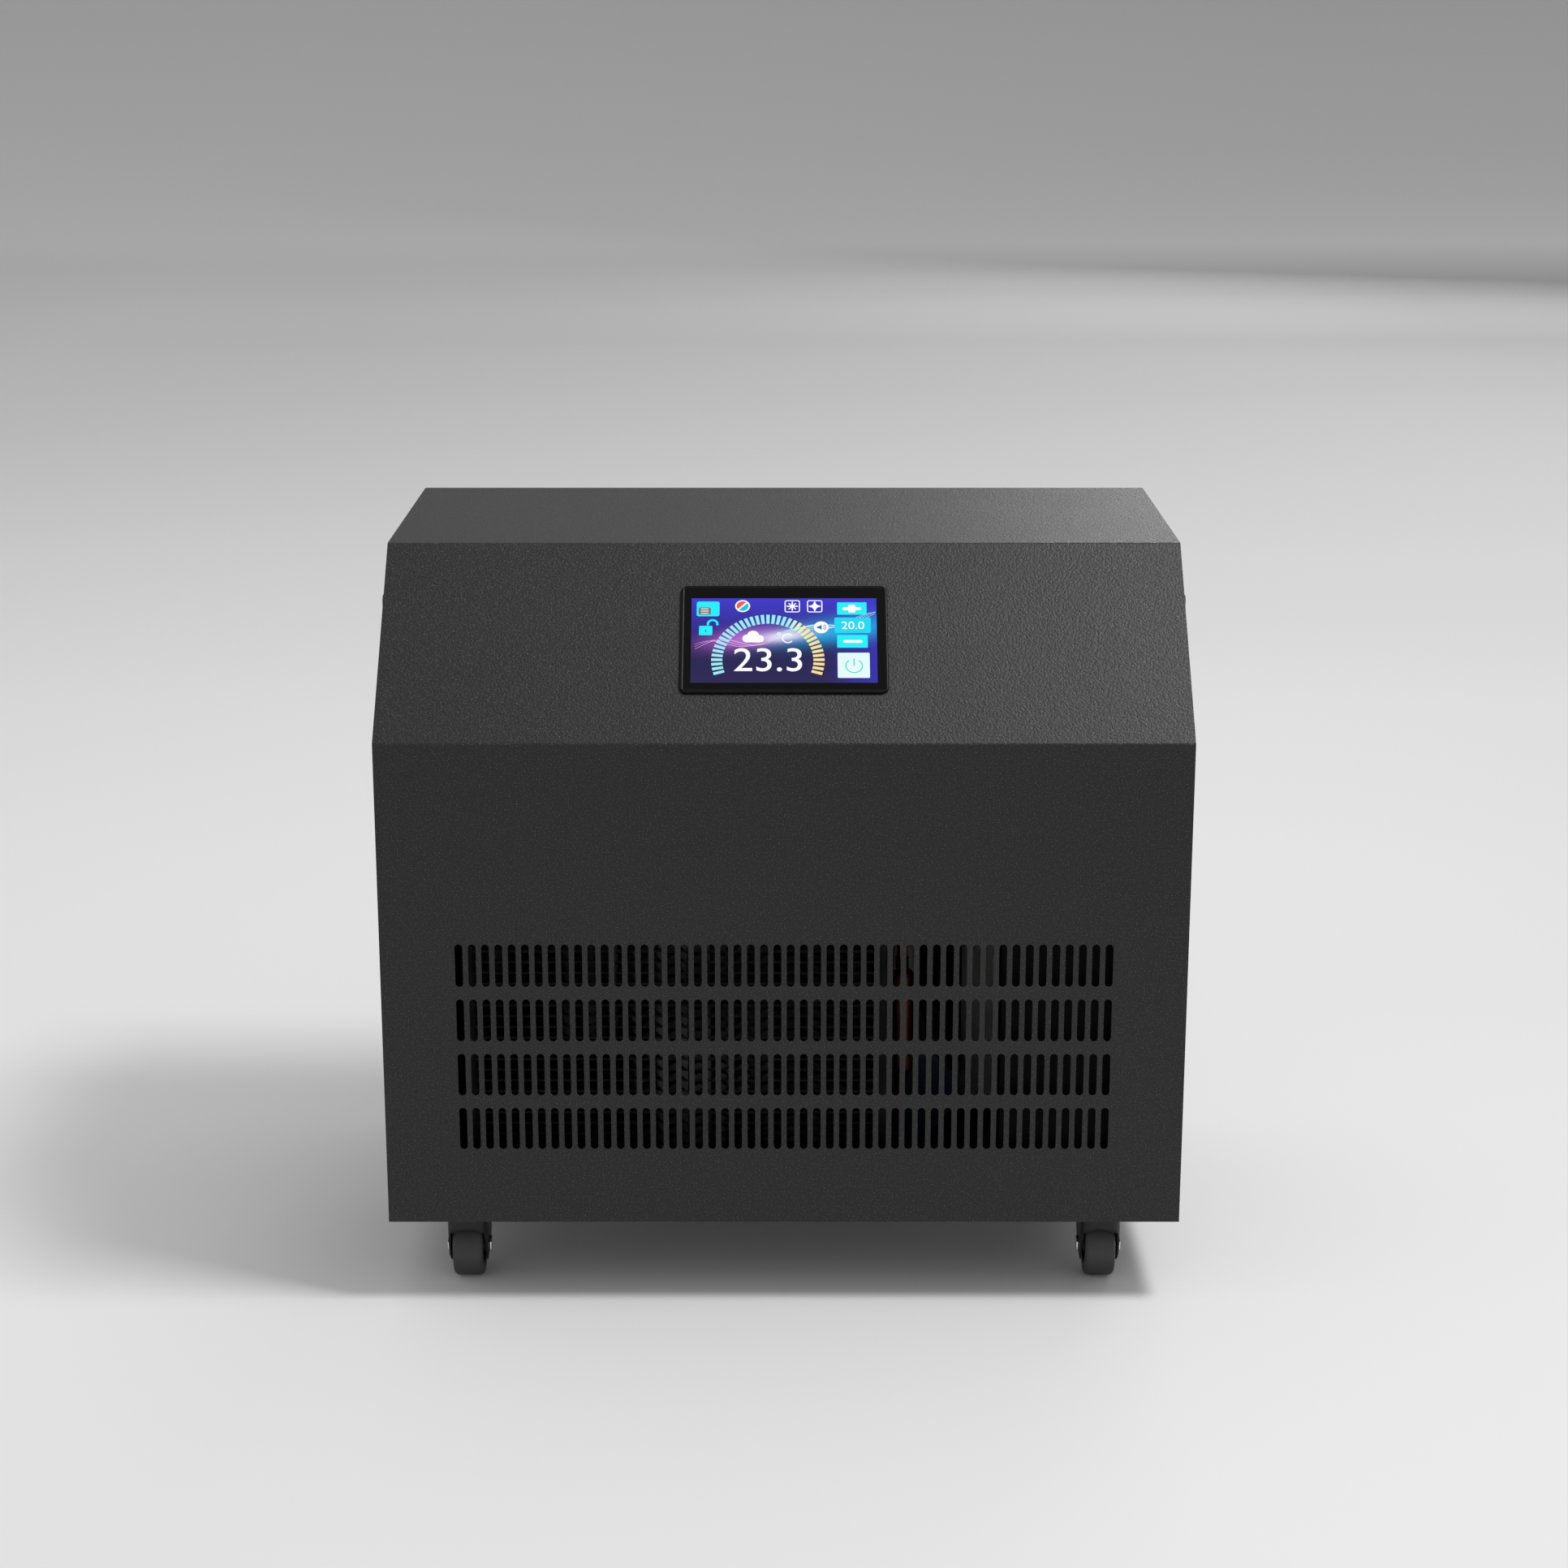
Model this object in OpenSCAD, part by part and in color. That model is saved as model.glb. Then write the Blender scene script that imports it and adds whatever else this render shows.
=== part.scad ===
// Recirculating water chiller in a sheet-metal cabinet on four swivel casters.
// Millimetres. +Z is up, the front faces -Y, and the origin is on the floor below the middle of the part.

/* [Cabinet] */
// Width over the side panels
body_w = 670; // [650:1:760]
// Depth from the front face to the rear flanges
body_d = 422; // [415:1:500]
// Height of the cabinet above its casters
body_h = 558; // [543:1:638]
// Height of the upright front face, up to the fold of the control slope
front_h = 418; // [403:1:433]
// Depth of the control slope
slope_run = 140; // [130:1:160]
// Thickness of the cabinet sheet
sheet_t = 1.5; // [1:0.1:2]
// Outside radius of the cabinet bends
bend_r = 3; // [2.5:0.1:5]
// Width of the folded flanges that join the panels
flange_w = 15; // [12:1:20]
// Height of the base pan's upturned edge
pan_h = 25; // [18:1:32]

/* [Air slots] */
// Upright slots in one row
slot_count = 50; // [30:1:52]
// Rows of slots
slot_rows = 4; // [2:1:4]
// Width of one slot
slot_w = 6.5; // [4:0.5:8]
// Length of one slot
slot_l = 37; // [25:1:42]
// Distance between slots along a row
slot_pitch = 11; // [10:0.1:12]
// Distance between rows
slot_row_pitch = 48; // [44:1:50]
// Height of the lowest row's middle above the cabinet's lower edge
slot_row_z = 84.5; // [70:0.5:95]

/* [Display] */
// Width of the display bezel
bezel_w = 172.5; // [165:0.5:190]
// Height of the display bezel along the slope
bezel_h = 106; // [98:1:120]
// How far the bezel stands out of the slope
bezel_proud = 2.5; // [1.5:0.1:4]
// Corner radius of the bezel
bezel_r = 6; // [4:0.5:10]
// Width of the bezel's rim around the glass
bezel_rim = 3; // [2.5:0.5:6]
// How far the display sits above the middle of the slope
display_up = 1.5; // [0:0.5:8]
// Thickness of the touch glass
glass_t = 1.2; // [0.8:0.1:1.5]

/* [Handles] */
// Length of a handle's flange
handle_w = 182; // [170:1:210]
// Height of a handle's flange
handle_h = 90; // [86:1:110]
// Thickness of a handle's flange, which stands out of the side panel
handle_t = 4.2; // [2:0.1:5]
// Corner radius of a handle's flange
handle_r = 10; // [5:1:15]
// Distance from the cabinet's top down to a handle
handle_drop = 38; // [30:1:60]
// Length of the grip's mouth
mouth_w = 150; // [120:1:155]
// Height of the grip's mouth
mouth_h = 56; // [40:1:58]
// Depth of the grip's pocket
pocket_depth = 42; // [30:1:50]
// How far the pocket reaches up behind the mouth's upper edge
hook_h = 12; // [8:1:14]
// Wall of the pocket
pocket_wall = 2.5; // [2:0.1:3]

/* [Casters] */
// Height from the floor to the cabinet's lower edge
caster_h = 72; // [70:1:90]
// Diameter of a wheel
wheel_d = 54; // [46:1:56]
// Width of a wheel
wheel_w = 26; // [18:1:27]
// Radius of the tread's edges
tread_r = 6; // [3:0.5:8]
// Width of the fork
fork_w = 34; // [33:1:44]
// Distance of the swivel axis behind the axle
trail = 19; // [15:1:22]
// Distance of the swivel axis from the side panel
caster_inset_x = 62; // [55:1:75]
// Distance of the swivel axis from the front face and from the rear
caster_inset_y = 78; // [62:1:82]
// Side of the square mounting plate
plate_w = 60; // [56:1:70]
// Thickness of the mounting plate
plate_t = 2.5; // [2:0.1:4]
// Diameter of the kingpin
kingpin_d = 8; // [6:0.5:10]
// Diameter of the axle
axle_d = 6; // [5:0.5:8]

/* [Condenser] */
// Width of the finned core
core_w = 333; // [300:1:345]
// Distance of the core from the left side panel's outer face
core_inset_x = 77; // [70:1:85]
// Height of the headers
header_h = 310; // [280:1:340]
// Distance of the core behind the front face
core_inset_y = 32; // [22:1:40]
// Depth of the core
core_d = 20; // [12:1:25]
// Height from one flat tube to the next
tube_pitch = 9.6; // [8:0.1:12]
// Height of a flat tube
tube_h = 2; // [1.5:0.1:3]
// Diameter of the headers
header_d = 18; // [16:1:24]
// Distance between fin folds
fin_pitch = 20; // [12:1:30]
// Thickness of the fins
fin_t = 0.4; // [0.3:0.1:0.8]

/* [Fan] */
// Diameter of the blade wheel
fan_d = 296; // [250:1:310]
// Distance of the fan's axis from the left side panel's outer face
fan_inset_x = 243; // [200:1:260]
// Height of the fan's axis above the cabinet's lower edge
fan_z = 280; // [250:1:320]
// Gap between the blade tips and the rear panel's collar
tip_gap = 3.5; // [2:0.5:6]
// Depth of the collar
collar_d = 25; // [10:1:35]
// Number of blades
blade_count = 5; // [3:1:7]
// Depth of a blade along the fan's axis
blade_chord = 62; // [40:1:70]
// Pitch angle of the blades in degrees
blade_pitch = 32; // [20:1:38]
// Diameter of the rotor can
can_d = 92; // [80:1:110]
// Length of the rotor can
can_l = 52; // [45:1:60]
// Diameter of the guard's ring wires
guard_wire_d = 4; // [3:0.5:5]
// Number of rings between the motor plate and the outer ring
guard_rings = 6; // [3:1:8]
// Number of radial arms of the guard
guard_arms = 8; // [4:1:12]

/* [Compressor] */
// Diameter of the compressor's shell
comp_d = 122; // [110:1:130]
// Height of the compressor's shell
comp_h = 222; // [200:1:240]
// Distance of the compressor's axis from the left side panel's outer face
comp_inset_x = 145; // [130:1:150]
// Distance of the compressor's axis behind the front face
comp_inset_y = 190; // [175:1:200]
// Diameter of the suction accumulator
accu_d = 50; // [40:1:55]
// Height of the rubber feet
foot_h = 12; // [10:1:18]

/* [Water side] */
// Diameter of the heat exchanger's shell
hx_d = 140; // [120:1:150]
// Height of the heat exchanger's shell
hx_h = 330; // [300:1:350]
// Distance of the heat exchanger's axis from the right side panel's outer face
hx_inset_x = 100; // [95:1:110]
// Distance of the heat exchanger's axis before the rear
hx_inset_y = 132; // [128:1:138]
// Turns of the titanium coil
coil_turns = 7; // [4:1:9]
// Diameter of the coil's tube
coil_tube_d = 16; // [12:1:18]
// Distance from the heat exchanger's axis to the pump's axis
pump_offset = 125; // [122:1:135]
// Height of the pump's axis above the base pan
pump_axis_h = 60; // [55:1:70]
// Diameter of the pump's motor
pump_d = 90; // [80:1:100]
// Length of the pump's motor
pump_l = 125; // [100:1:140]
// Outside diameter of the fittings' thread
thread_d = 26.4; // [20:0.1:27]
// Length of the fittings' thread
thread_l = 18; // [14:1:22]
// Bore of the fittings
fitting_bore_d = 18; // [12:1:19]
// Wall of the hoses
hose_wall = 3; // [2:0.5:4]

/* [Control box] */
// Width of the control box
box_w = 143; // [120:1:145]
// Depth of the control box
box_d = 70; // [60:1:80]
// Height of the control box
box_h = 257; // [220:1:280]
// Distance of the control box from the right side panel's outer face
box_inset_x = 10; // [8:1:14]
// Distance of the control box behind the front face
box_inset_y = 14; // [8:1:20]
// Thickness of its sheet
box_t = 1.2; // [1:0.1:1.5]

/* [Hidden] */

// Clearances and the overrun that every cut takes past a face
panel_gap = 0.2;
move_gap = 0.3;
run_gap = 0.05;
over = 2;

// Smoothness of round shapes and of bends
$fn = 64;
fine = 96;
bend_steps = 6;
route_steps = 5;
pipe_sides = 8;
hose_sides = 12;

// Reach of the water fittings behind the cabinet, which centres the part on the origin
hex_t = 8;
thread_reach = hex_t + thread_l - sheet_t;
front_y = -(body_d + thread_reach) / 2;
back_y = front_y + body_d;
half_w = body_w / 2;
fold_z = caster_h + front_h;
top_z = caster_h + body_h;
pan_z = caster_h + sheet_t;
floor_z = pan_z + sheet_t;
pan_top = floor_z + pan_h;
slope_rise = body_h - front_h;
slope_len = norm([slope_run, slope_rise]);
slope_deg = atan2(slope_rise, slope_run);
inner_w = half_w - sheet_t - panel_gap;

// Screws
screw_d = 4;
screw_head_d = 8;
screw_head_t = 2.2;
screw_l = 8;
screw_gap = 0.15;
screw_edge = flange_w / 2;

// Display stack, measured outwards from the slope's face
bezel_wall = 2;
glass_recess = 0.2;
glass_lap = 3;
window_w = bezel_w - 2 * bezel_rim;
window_h = bezel_h - 2 * bezel_rim;
sleeve_rim = 4;
sleeve_w = bezel_w - 2 * sleeve_rim;
sleeve_h = bezel_h - 2 * sleeve_rim;
sleeve_depth = 12;
sleeve_r = 2.5;
cutout_gap = 0.5;
glass_z = bezel_proud - glass_recess - glass_t;
lcd_t = 5;
board_t = 1.6;
board_gap = 1;
chip_w = 14;
chip_t = 1.5;
chip_spread = 40;

// Caster heights, from the base pan down
plate_r = 4;
race_d = 40;
race_t = 4;
plate_z = pan_z - plate_t;
fork_top = plate_z - race_t - move_gap;
wheel_r = wheel_d / 2;
fork_clear = 1.5;
arch_top = wheel_d + fork_clear;
crown_z = arch_top + fork_clear + move_gap;
kingpin_head_d = 13;
kingpin_head_t = 2.5;
wheel_gap = 1.5;
fork_slot = wheel_w + 2 * wheel_gap;
fork_r = 10;
mouth_drop = 4;
boss_r = 14;
leg_taper = 1.6;
leg_taper_z = 24;
fork_back = 18;
hood_front = trail + wheel_r;
cavity_r = wheel_r + 2 * fork_clear;
tread_t = 7;
hub_r = wheel_r - tread_t;
hub_rim = 3;
hub_web = 6;
hub_boss_r = 7;
nut_af = 13;
nut_t = 2;
bolt_edge = 7;
bolt_spread = plate_w - 2 * bolt_edge;
bolt_d = 6;
bolt_gap = 0.3;
bolt_head_d = 11;
bolt_head_t = 3;
bolt_nut_t = 5;
caster_x = half_w - caster_inset_x;
caster_front_y = front_y + caster_inset_y;
caster_rear_y = back_y - caster_inset_y;

// Places of the parts that stand on the base pan
core_x0 = -half_w + core_inset_x;
core_x1 = core_x0 + core_w;
core_y0 = front_y + core_inset_y;
core_y1 = core_y0 + core_d;
core_y = (core_y0 + core_y1) / 2;
header_left = core_x0 - header_d / 2;
header_right = core_x1 + header_d / 2;
core_foot = 12;
tube_count = floor((header_h - 2 * core_foot) / tube_pitch);
first_tube_z = floor_z + 2 * core_foot;
port_d = 9.6;
port_l = 10;
gas_port_z = floor_z + header_h - 2 * core_foot;
liquid_port_z = floor_z + 3 * core_foot;

fan_x = -half_w + fan_inset_x;
fan_axis_z = caster_h + fan_z;
fan_r = fan_d / 2;
collar_r = fan_r + tip_gap;
rear_face_y = back_y - sheet_t;
guard_plate_d = 84;
guard_eye_x = 9;
guard_eye_r = 5;
guard_lap = 14;
guard_r = collar_r + guard_lap;
guard_y = rear_face_y + guard_wire_d / 2;
motor_flange_t = 3;
motor_face_y = rear_face_y - motor_flange_t;
spindle_d = 8;
core_clear = 2;
can_wall = 2;
stator_short = 14;
stator_core_l = can_l - stator_short;
can_y1 = motor_face_y - 3 * core_clear;
can_y0 = can_y1 - can_l;
blade_t = 2.5;
blade_root = 1;

comp_x = -half_w + comp_inset_x;
comp_y = front_y + comp_inset_y;
comp_r = comp_d / 2;
comp_wall = 3;
comp_plate_t = 3;
comp_plate_lap = 4;
comp_plate_w = comp_d + 2 * comp_plate_lap;
comp_dome = 26;
comp_seat_z = floor_z + foot_h;
comp_z0 = comp_seat_z + comp_plate_t;
comp_top = comp_z0 + comp_h;
foot_edge = 12;
foot_spread = comp_plate_w - 2 * foot_edge;
foot_r = 11;
foot_bore_d = 9;
foot_lip = 2;
stator_l = 62;
stator_bore_r = 31;
stator_rise = 105;
stator_z = comp_z0 + stator_rise;
winding_h = 12;
winding_r0 = 35;
winding_r1 = 52;
air_gap = 0.5;
shaft_r = 8;
block_t = 34;
block_rise = 48;
block_z = comp_z0 + block_rise;
block_hub_r = 18;
block_hub_h = 14;
weight_h = 8;
accu_gap = 8;
accu_r = accu_d / 2;
accu_h = 130;
accu_x = comp_x + comp_r + accu_gap + accu_r;
accu_rise = 45;
accu_z0 = comp_z0 + accu_rise;
accu_neck = 10;
suction_rise = 28;
suction_z = comp_z0 + suction_rise;
boss_l = 6;
boss_wall = 3;
stub_wall = 2;
suction_r = 6.4;
discharge_r = 4.8;
liquid_r = 4.8;
pipe_bend = 16;
stub_h = 8;

hx_x = half_w - hx_inset_x;
hx_y = back_y - hx_inset_y;
hx_r = hx_d / 2;
hx_wall = 4;
hx_lid_lap = 5;
hx_lid_r = hx_r + hx_lid_lap;
hx_lid_t = 12;
hx_foot_r = 26;
hx_foot_h = 12;
hx_z0 = floor_z + hx_foot_h;
hx_top = floor_z + hx_h;
coil_tube_r = coil_tube_d / 2;
coil_side_gap = 12;
coil_low_gap = 30;
coil_high_gap = 40;
coil_return_r = 1.25 * coil_tube_r;
coil_r = hx_r - hx_wall - coil_tube_r - coil_side_gap;
coil_steps = 12;
coil_z0 = hx_z0 + hx_lid_t + coil_low_gap;
coil_z1 = hx_top - hx_lid_t - coil_high_gap;
coil_stub = 15;
coil_top = hx_top + coil_stub;
coil_hole_gap = 0.4;
fitting_wall = 1.5;
hose_bore_r = fitting_bore_d / 2 + fitting_wall;
barb_r = hose_bore_r - panel_gap;
barb_l = 20;
hose_r = hose_bore_r + hose_wall;
port_wall = 2.5;
outlet_drop = 70;
outlet_z = hx_top - outlet_drop;
drain_rise = 40;
drain_z = floor_z + drain_rise;
pump_x = hx_x - pump_offset;
pump_axis_z = floor_z + pump_axis_h;
pump_port_rise = 125;
pump_port_z = pump_axis_z + pump_port_rise;
volute_t = 40;
volute_wall = 4;
volute_r = pump_d / 2;
volute_y0 = hx_y - volute_t / 2;
volute_y1 = hx_y + volute_t / 2;
motor_y0 = volute_y0 - pump_l;
impeller_gap = 5;
impeller_back = 1;
impeller_hub_wall = 3;
impeller_r = volute_r - volute_wall - impeller_gap;
impeller_t = 3;
vane_t = 2.5;
vane_h = 14;
vane_count = 6;
pump_shaft_r = 4;
pump_shaft_l = 40;
pump_foot_w = 64;
pump_foot_t = 4;
rib_count = 16;
rib_t = 2;
rib_h = 4;
fitting_flange_r = 19;
nut_ring_t = 8;
fitting_hole_gap = 0.3;

drier_off = 8;
drier_back = 52;
drier_rise = 55;
drier_x = pump_x - drier_off;
drier_y = core_y1 + drier_back;
drier_r = 11;
drier_end_wall = 1;
drier_h = 100;
drier_z0 = liquid_port_z + drier_rise;
valve_r = 12;
valve_h = 36;
valve_cap_r = 17;
valve_cap_t = 8;
valve_x = hx_x - coil_r;
valve_port_z = coil_top + valve_h / 2;

drain_r = 9.8;
drain_l = 14;
drain_hex_t = 6;
drain_bore_r = 6;
cap_r = 13;
cap_wall = 2.4;
cap_grip_count = 12;

box_x1 = half_w - box_inset_x;
box_x0 = box_x1 - box_w;
box_y0 = front_y + box_inset_y;
box_y1 = box_y0 + box_d;
box_foot_h = 10;
box_z0 = floor_z + box_foot_h;
box_z1 = floor_z + box_h;
box_lip = 10;
standoff_h = 8;
standoff_r = 4;
pcb_margin = 12;
pcb_t = 1.6;

inlet_w = 50;
inlet_h = 24;
inlet_t = 3;
socket_w = 24.4;
socket_h = 16.6;
socket_wall = 1.6;
socket_depth = 16.5;
socket_outer_w = socket_w + 2 * socket_wall;
socket_outer_h = socket_h + 2 * socket_wall;
pin_w = 2;
pin_h = 4;
pin_l = 10.5;
pin_spread = 7;
inlet_off = 25;
inlet_drop = 90;
inlet_x = hx_x + inlet_off;
inlet_z = top_z - inlet_drop;

// Helpers: a box between two corners, and profiles run along an axis
module block(low, high) {
    translate(low) cube(high - low);
}
// Profile in Y and Z, run along X
module along_x(x0, x1) {
    translate([x0, 0, 0]) rotate([90, 0, 90]) linear_extrude(x1 - x0) children();
}
// Profile in X and Z, run along Y
module along_y(y0, y1) {
    translate([0, y1, 0]) rotate([90, 0, 0]) linear_extrude(y1 - y0) children();
}
module along_z(z0, z1) {
    translate([0, 0, z0]) linear_extrude(z1 - z0) children();
}
module rod_x(r, x0, x1, y, z) {
    translate([x0, y, z]) rotate([0, 90, 0]) cylinder(r = r, h = x1 - x0);
}
module rod_y(r, y0, y1, x, z) {
    translate([x, y0, z]) rotate([-90, 0, 0]) cylinder(r = r, h = y1 - y0);
}
module rod_z(r, z0, z1, x, y) {
    translate([x, y, z0]) cylinder(r = r, h = z1 - z0);
}
function arc(c, r, a0, a1, steps = bend_steps) =
    [for (i = [0:steps]) c + r * [cos(a0 + (a1 - a0) * i / steps), sin(a0 + (a1 - a0) * i / steps)]];
// Rectangle about the origin with round corners
module soft_rect(w, h, r) {
    polygon(concat(
        arc([w / 2 - r, h / 2 - r], r, 0, 90),
        arc([r - w / 2, h / 2 - r], r, 90, 180),
        arc([r - w / 2, r - h / 2], r, 180, 270),
        arc([w / 2 - r, r - h / 2], r, 270, 360)));
}

// Bent sheet: a path of corners, moved inwards by a distance, each bend an arc
function unit(v) = v / norm(v);
function inward(a, b) = let (d = unit(b - a)) [d.y, -d.x];
function moved(p, i, d) =
    i == 0 ? p[0] + d * inward(p[0], p[1])
    : i == len(p) - 1 ? p[i] + d * inward(p[i - 1], p[i])
    : let (m = inward(p[i - 1], p[i]), n = inward(p[i], p[i + 1])) p[i] + d * (m + n) / (1 + m * n);
function moved_path(p, d) = [for (i = [0:len(p) - 1]) moved(p, i, d)];
function corner_arc(a, b, c, r, steps) =
    let (u = unit(b - a), w = unit(c - b), turn = acos(u * w), n = unit(w - (w * u) * u))
    let (start = b - u * r * tan(turn / 2))
    [for (i = [0:steps]) let (g = turn * i / steps) start + r * sin(g) * u + r * (1 - cos(g)) * n];
function bent(p, r) = concat(
    [p[0]],
    [for (i = [1:len(p) - 2]) each corner_arc(p[i - 1], p[i], p[i + 1], r, bend_steps)],
    [p[len(p) - 1]]);
function reversed(v) = [for (i = [len(v) - 1:-1:0]) v[i]];
function sheet_outline(p, d0, d1) = concat(
    bent(moved_path(p, d0), bend_r - d0),
    reversed(bent(moved_path(p, d1), max(bend_r - d1, panel_gap))));
cover_path = [[front_y, caster_h], [front_y, fold_z], [front_y + slope_run, top_z], [back_y, top_z]];

// Round tube swept along a route with rounded corners, solid or with a bore
function route(p, r) = len(p) == 2 ? p : concat(
    [p[0]],
    [for (i = [1:len(p) - 2]) each corner_arc(p[i - 1], p[i], p[i + 1], r, route_steps)],
    [p[len(p) - 1]]);
function tangent(p, i) =
    i == 0 ? unit(p[1] - p[0])
    : i == len(p) - 1 ? unit(p[i] - p[i - 1])
    : unit(unit(p[i] - p[i - 1]) + unit(p[i + 1] - p[i]));
function square_to(t, n) = unit(n - (n * t) * t);
function first_side(t) = square_to(t, abs(t.z) < abs(t.x) + abs(t.y) ? [0, 0, 1] : [1, 0, 0]);
function side_vectors(p) = [
    for (i = 0, n = first_side(tangent(p, 0)); i < len(p);
         i = i + 1, n = i < len(p) ? square_to(tangent(p, i), n) : n) n];
function rings(p, r, sides) = let (n = side_vectors(p)) [
    for (i = [0:len(p) - 1], j = [0:sides - 1])
        let (a = 360 * (j + 1 / 2) / sides)
        p[i] + r * (cos(a) * n[i] + sin(a) * cross(tangent(p, i), n[i]))];
function wall_faces(count, sides, first, outside) = [
    for (i = [0:count - 2], j = [0:sides - 1])
        let (a = first + i * sides + j, b = first + i * sides + (j + 1) % sides)
        let (c = b + sides, d = a + sides)
        each outside ? [[a, d, c], [a, c, b]] : [[a, c, d], [a, b, c]]];
module swept_rod(p, r, sides) {
    n = len(p);
    polyhedron(
        rings(p, r, sides),
        concat(
            wall_faces(n, sides, 0, true),
            [[for (j = [0:sides - 1]) j]],
            [[for (j = [sides - 1:-1:0]) (n - 1) * sides + j]]));
}
module swept_hose(p, r, bore, sides) {
    n = len(p);
    m = n * sides;
    polyhedron(
        concat(rings(p, r, sides), rings(p, bore, sides)),
        concat(
            wall_faces(n, sides, 0, true),
            wall_faces(n, sides, m, false),
            [for (j = [0:sides - 1]) let (k = (j + 1) % sides) each [[j, k, m + k], [j, m + k, m + j]]],
            [for (j = [0:sides - 1])
                let (k = (j + 1) % sides, a = (n - 1) * sides)
                each [[a + j, m + a + k, a + k], [a + j, m + a + j, m + a + k]]]));
}
// Half the angle of a polygon's side, so that a swept hose's facets still clear the round barb in it
function clear_bore(r, sides) = r / cos(180 / sides);

// Places of the screws: along the rear's four edges, low on each side and under the front edge
rear_screw_xs = [-half_w / 2, 0, half_w / 2];
side_screw_zs = [fold_z - 2 * flange_w, (caster_h + fold_z) / 2, caster_h + 4 * flange_w];
side_screw_ys = [front_y + body_d / 4, back_y - body_d / 4];
pan_screw_z = pan_top - screw_edge;
module screw_shanks(r) {
    for (x = rear_screw_xs) {
        rod_y(r, back_y - screw_l, back_y + over, x, top_z - screw_edge);
        rod_y(r, back_y - screw_l - sheet_t, back_y + over, x, pan_screw_z);
        rod_z(r, caster_h - over, caster_h + screw_l, x, front_y + screw_edge + sheet_t);
    }
    for (s = [-1, 1]) {
        for (z = side_screw_zs) rod_y(r, back_y - screw_l, back_y + over, s * (half_w - screw_edge), z);
        let (x = s * (half_w - sheet_t / 2)) for (y = side_screw_ys)
            rod_x(r, x - screw_l, x + screw_l, y, pan_screw_z);
    }
}
module screw(l) {
    cylinder(d = screw_head_d, h = screw_head_t);
    translate([0, 0, -l]) cylinder(d = screw_d, h = l + screw_head_t / 2);
}

module base_pan() {
    pan_half = inner_w - panel_gap;
    y0 = front_y + sheet_t + panel_gap;
    y1 = back_y - 2 * sheet_t - panel_gap;
    color("#8d9094") difference() {
        block([-pan_half, y0, pan_z], [pan_half, y1, pan_top]);
        block([sheet_t - pan_half, y0 + sheet_t, floor_z],
              [pan_half - sheet_t, y1 - sheet_t, pan_top + over]);
        screw_shanks(screw_d / 2 + screw_gap);
        caster_bolt_places() cylinder(d = bolt_d + 2 * bolt_gap, h = 2 * sheet_t + over, center = true);
    }
}

module slot_shape() {
    straight = slot_l - slot_w;
    square([slot_w, straight], center = true);
    for (s = [-1, 1]) translate([0, s * straight / 2]) circle(d = slot_w);
}
module front_cover() {
    first_x = -(slot_count - 1) * slot_pitch / 2;
    color("#2c2c2e") difference() {
        union() {
            along_x(-half_w, half_w) polygon(sheet_outline(cover_path, 0, sheet_t));
            block([-inner_w, front_y + sheet_t / 2, caster_h],
                  [inner_w, front_y + sheet_t + flange_w, pan_z]);
            block([-inner_w, rear_face_y, top_z - flange_w], [inner_w, back_y, top_z - sheet_t / 2]);
        }
        for (r = [0:slot_rows - 1], c = [0:slot_count - 1])
            translate([first_x + c * slot_pitch, 0, caster_h + slot_row_z + r * slot_row_pitch])
                along_y(front_y - over, front_y + sheet_t + over) slot_shape();
        on_slope() along_z(-2 * over, over)
            soft_rect(sleeve_w + 2 * cutout_gap, sleeve_h + 2 * cutout_gap, sleeve_r + cutout_gap);
        screw_shanks(screw_d / 2 + screw_gap);
    }
}

// Middle of the control slope: X across, Y up the slope, Z out of it
module on_slope() {
    translate([0, front_y, fold_z]) rotate([slope_deg, 0, 0]) translate([0, slope_len / 2 + display_up, 0]) children();
}

handle_z1 = top_z - handle_drop;
handle_z = handle_z1 - handle_h / 2;
handle_y = front_y + body_d / 2;
pocket_w = mouth_w + 2 * pocket_wall;
pocket_h = mouth_h + hook_h + 2 * pocket_wall;
// The right side panel; the left one is its mirror image
module side_panel() {
    d = sheet_t + panel_gap;
    y1 = back_y - 3 * sheet_t - 2 * panel_gap;
    flange_path = [[front_y, pan_top + panel_gap], cover_path[1], cover_path[2], [y1, top_z]];
    difference() {
        union() {
            along_x(half_w - sheet_t, half_w)
                polygon(concat(bent(moved_path(cover_path, d), bend_r - d), [[back_y, caster_h]]));
            along_x(half_w - flange_w, half_w - sheet_t / 2)
                polygon(sheet_outline(flange_path, d, d + sheet_t));
            block([half_w - flange_w, rear_face_y, caster_h],
                  [half_w - sheet_t / 2, back_y, top_z - flange_w - panel_gap]);
        }
        translate([0, handle_y, handle_z]) along_x(half_w - flange_w - over, half_w + over)
            soft_rect(pocket_w + 2 * cutout_gap, pocket_h + 2 * cutout_gap, pocket_wall);
        screw_shanks(screw_d / 2 + screw_gap);
    }
}
module right_side_panel() {
    color("#2c2c2e") side_panel();
}
module left_side_panel() {
    color("#2c2c2e") mirror([1, 0, 0]) side_panel();
}

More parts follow.
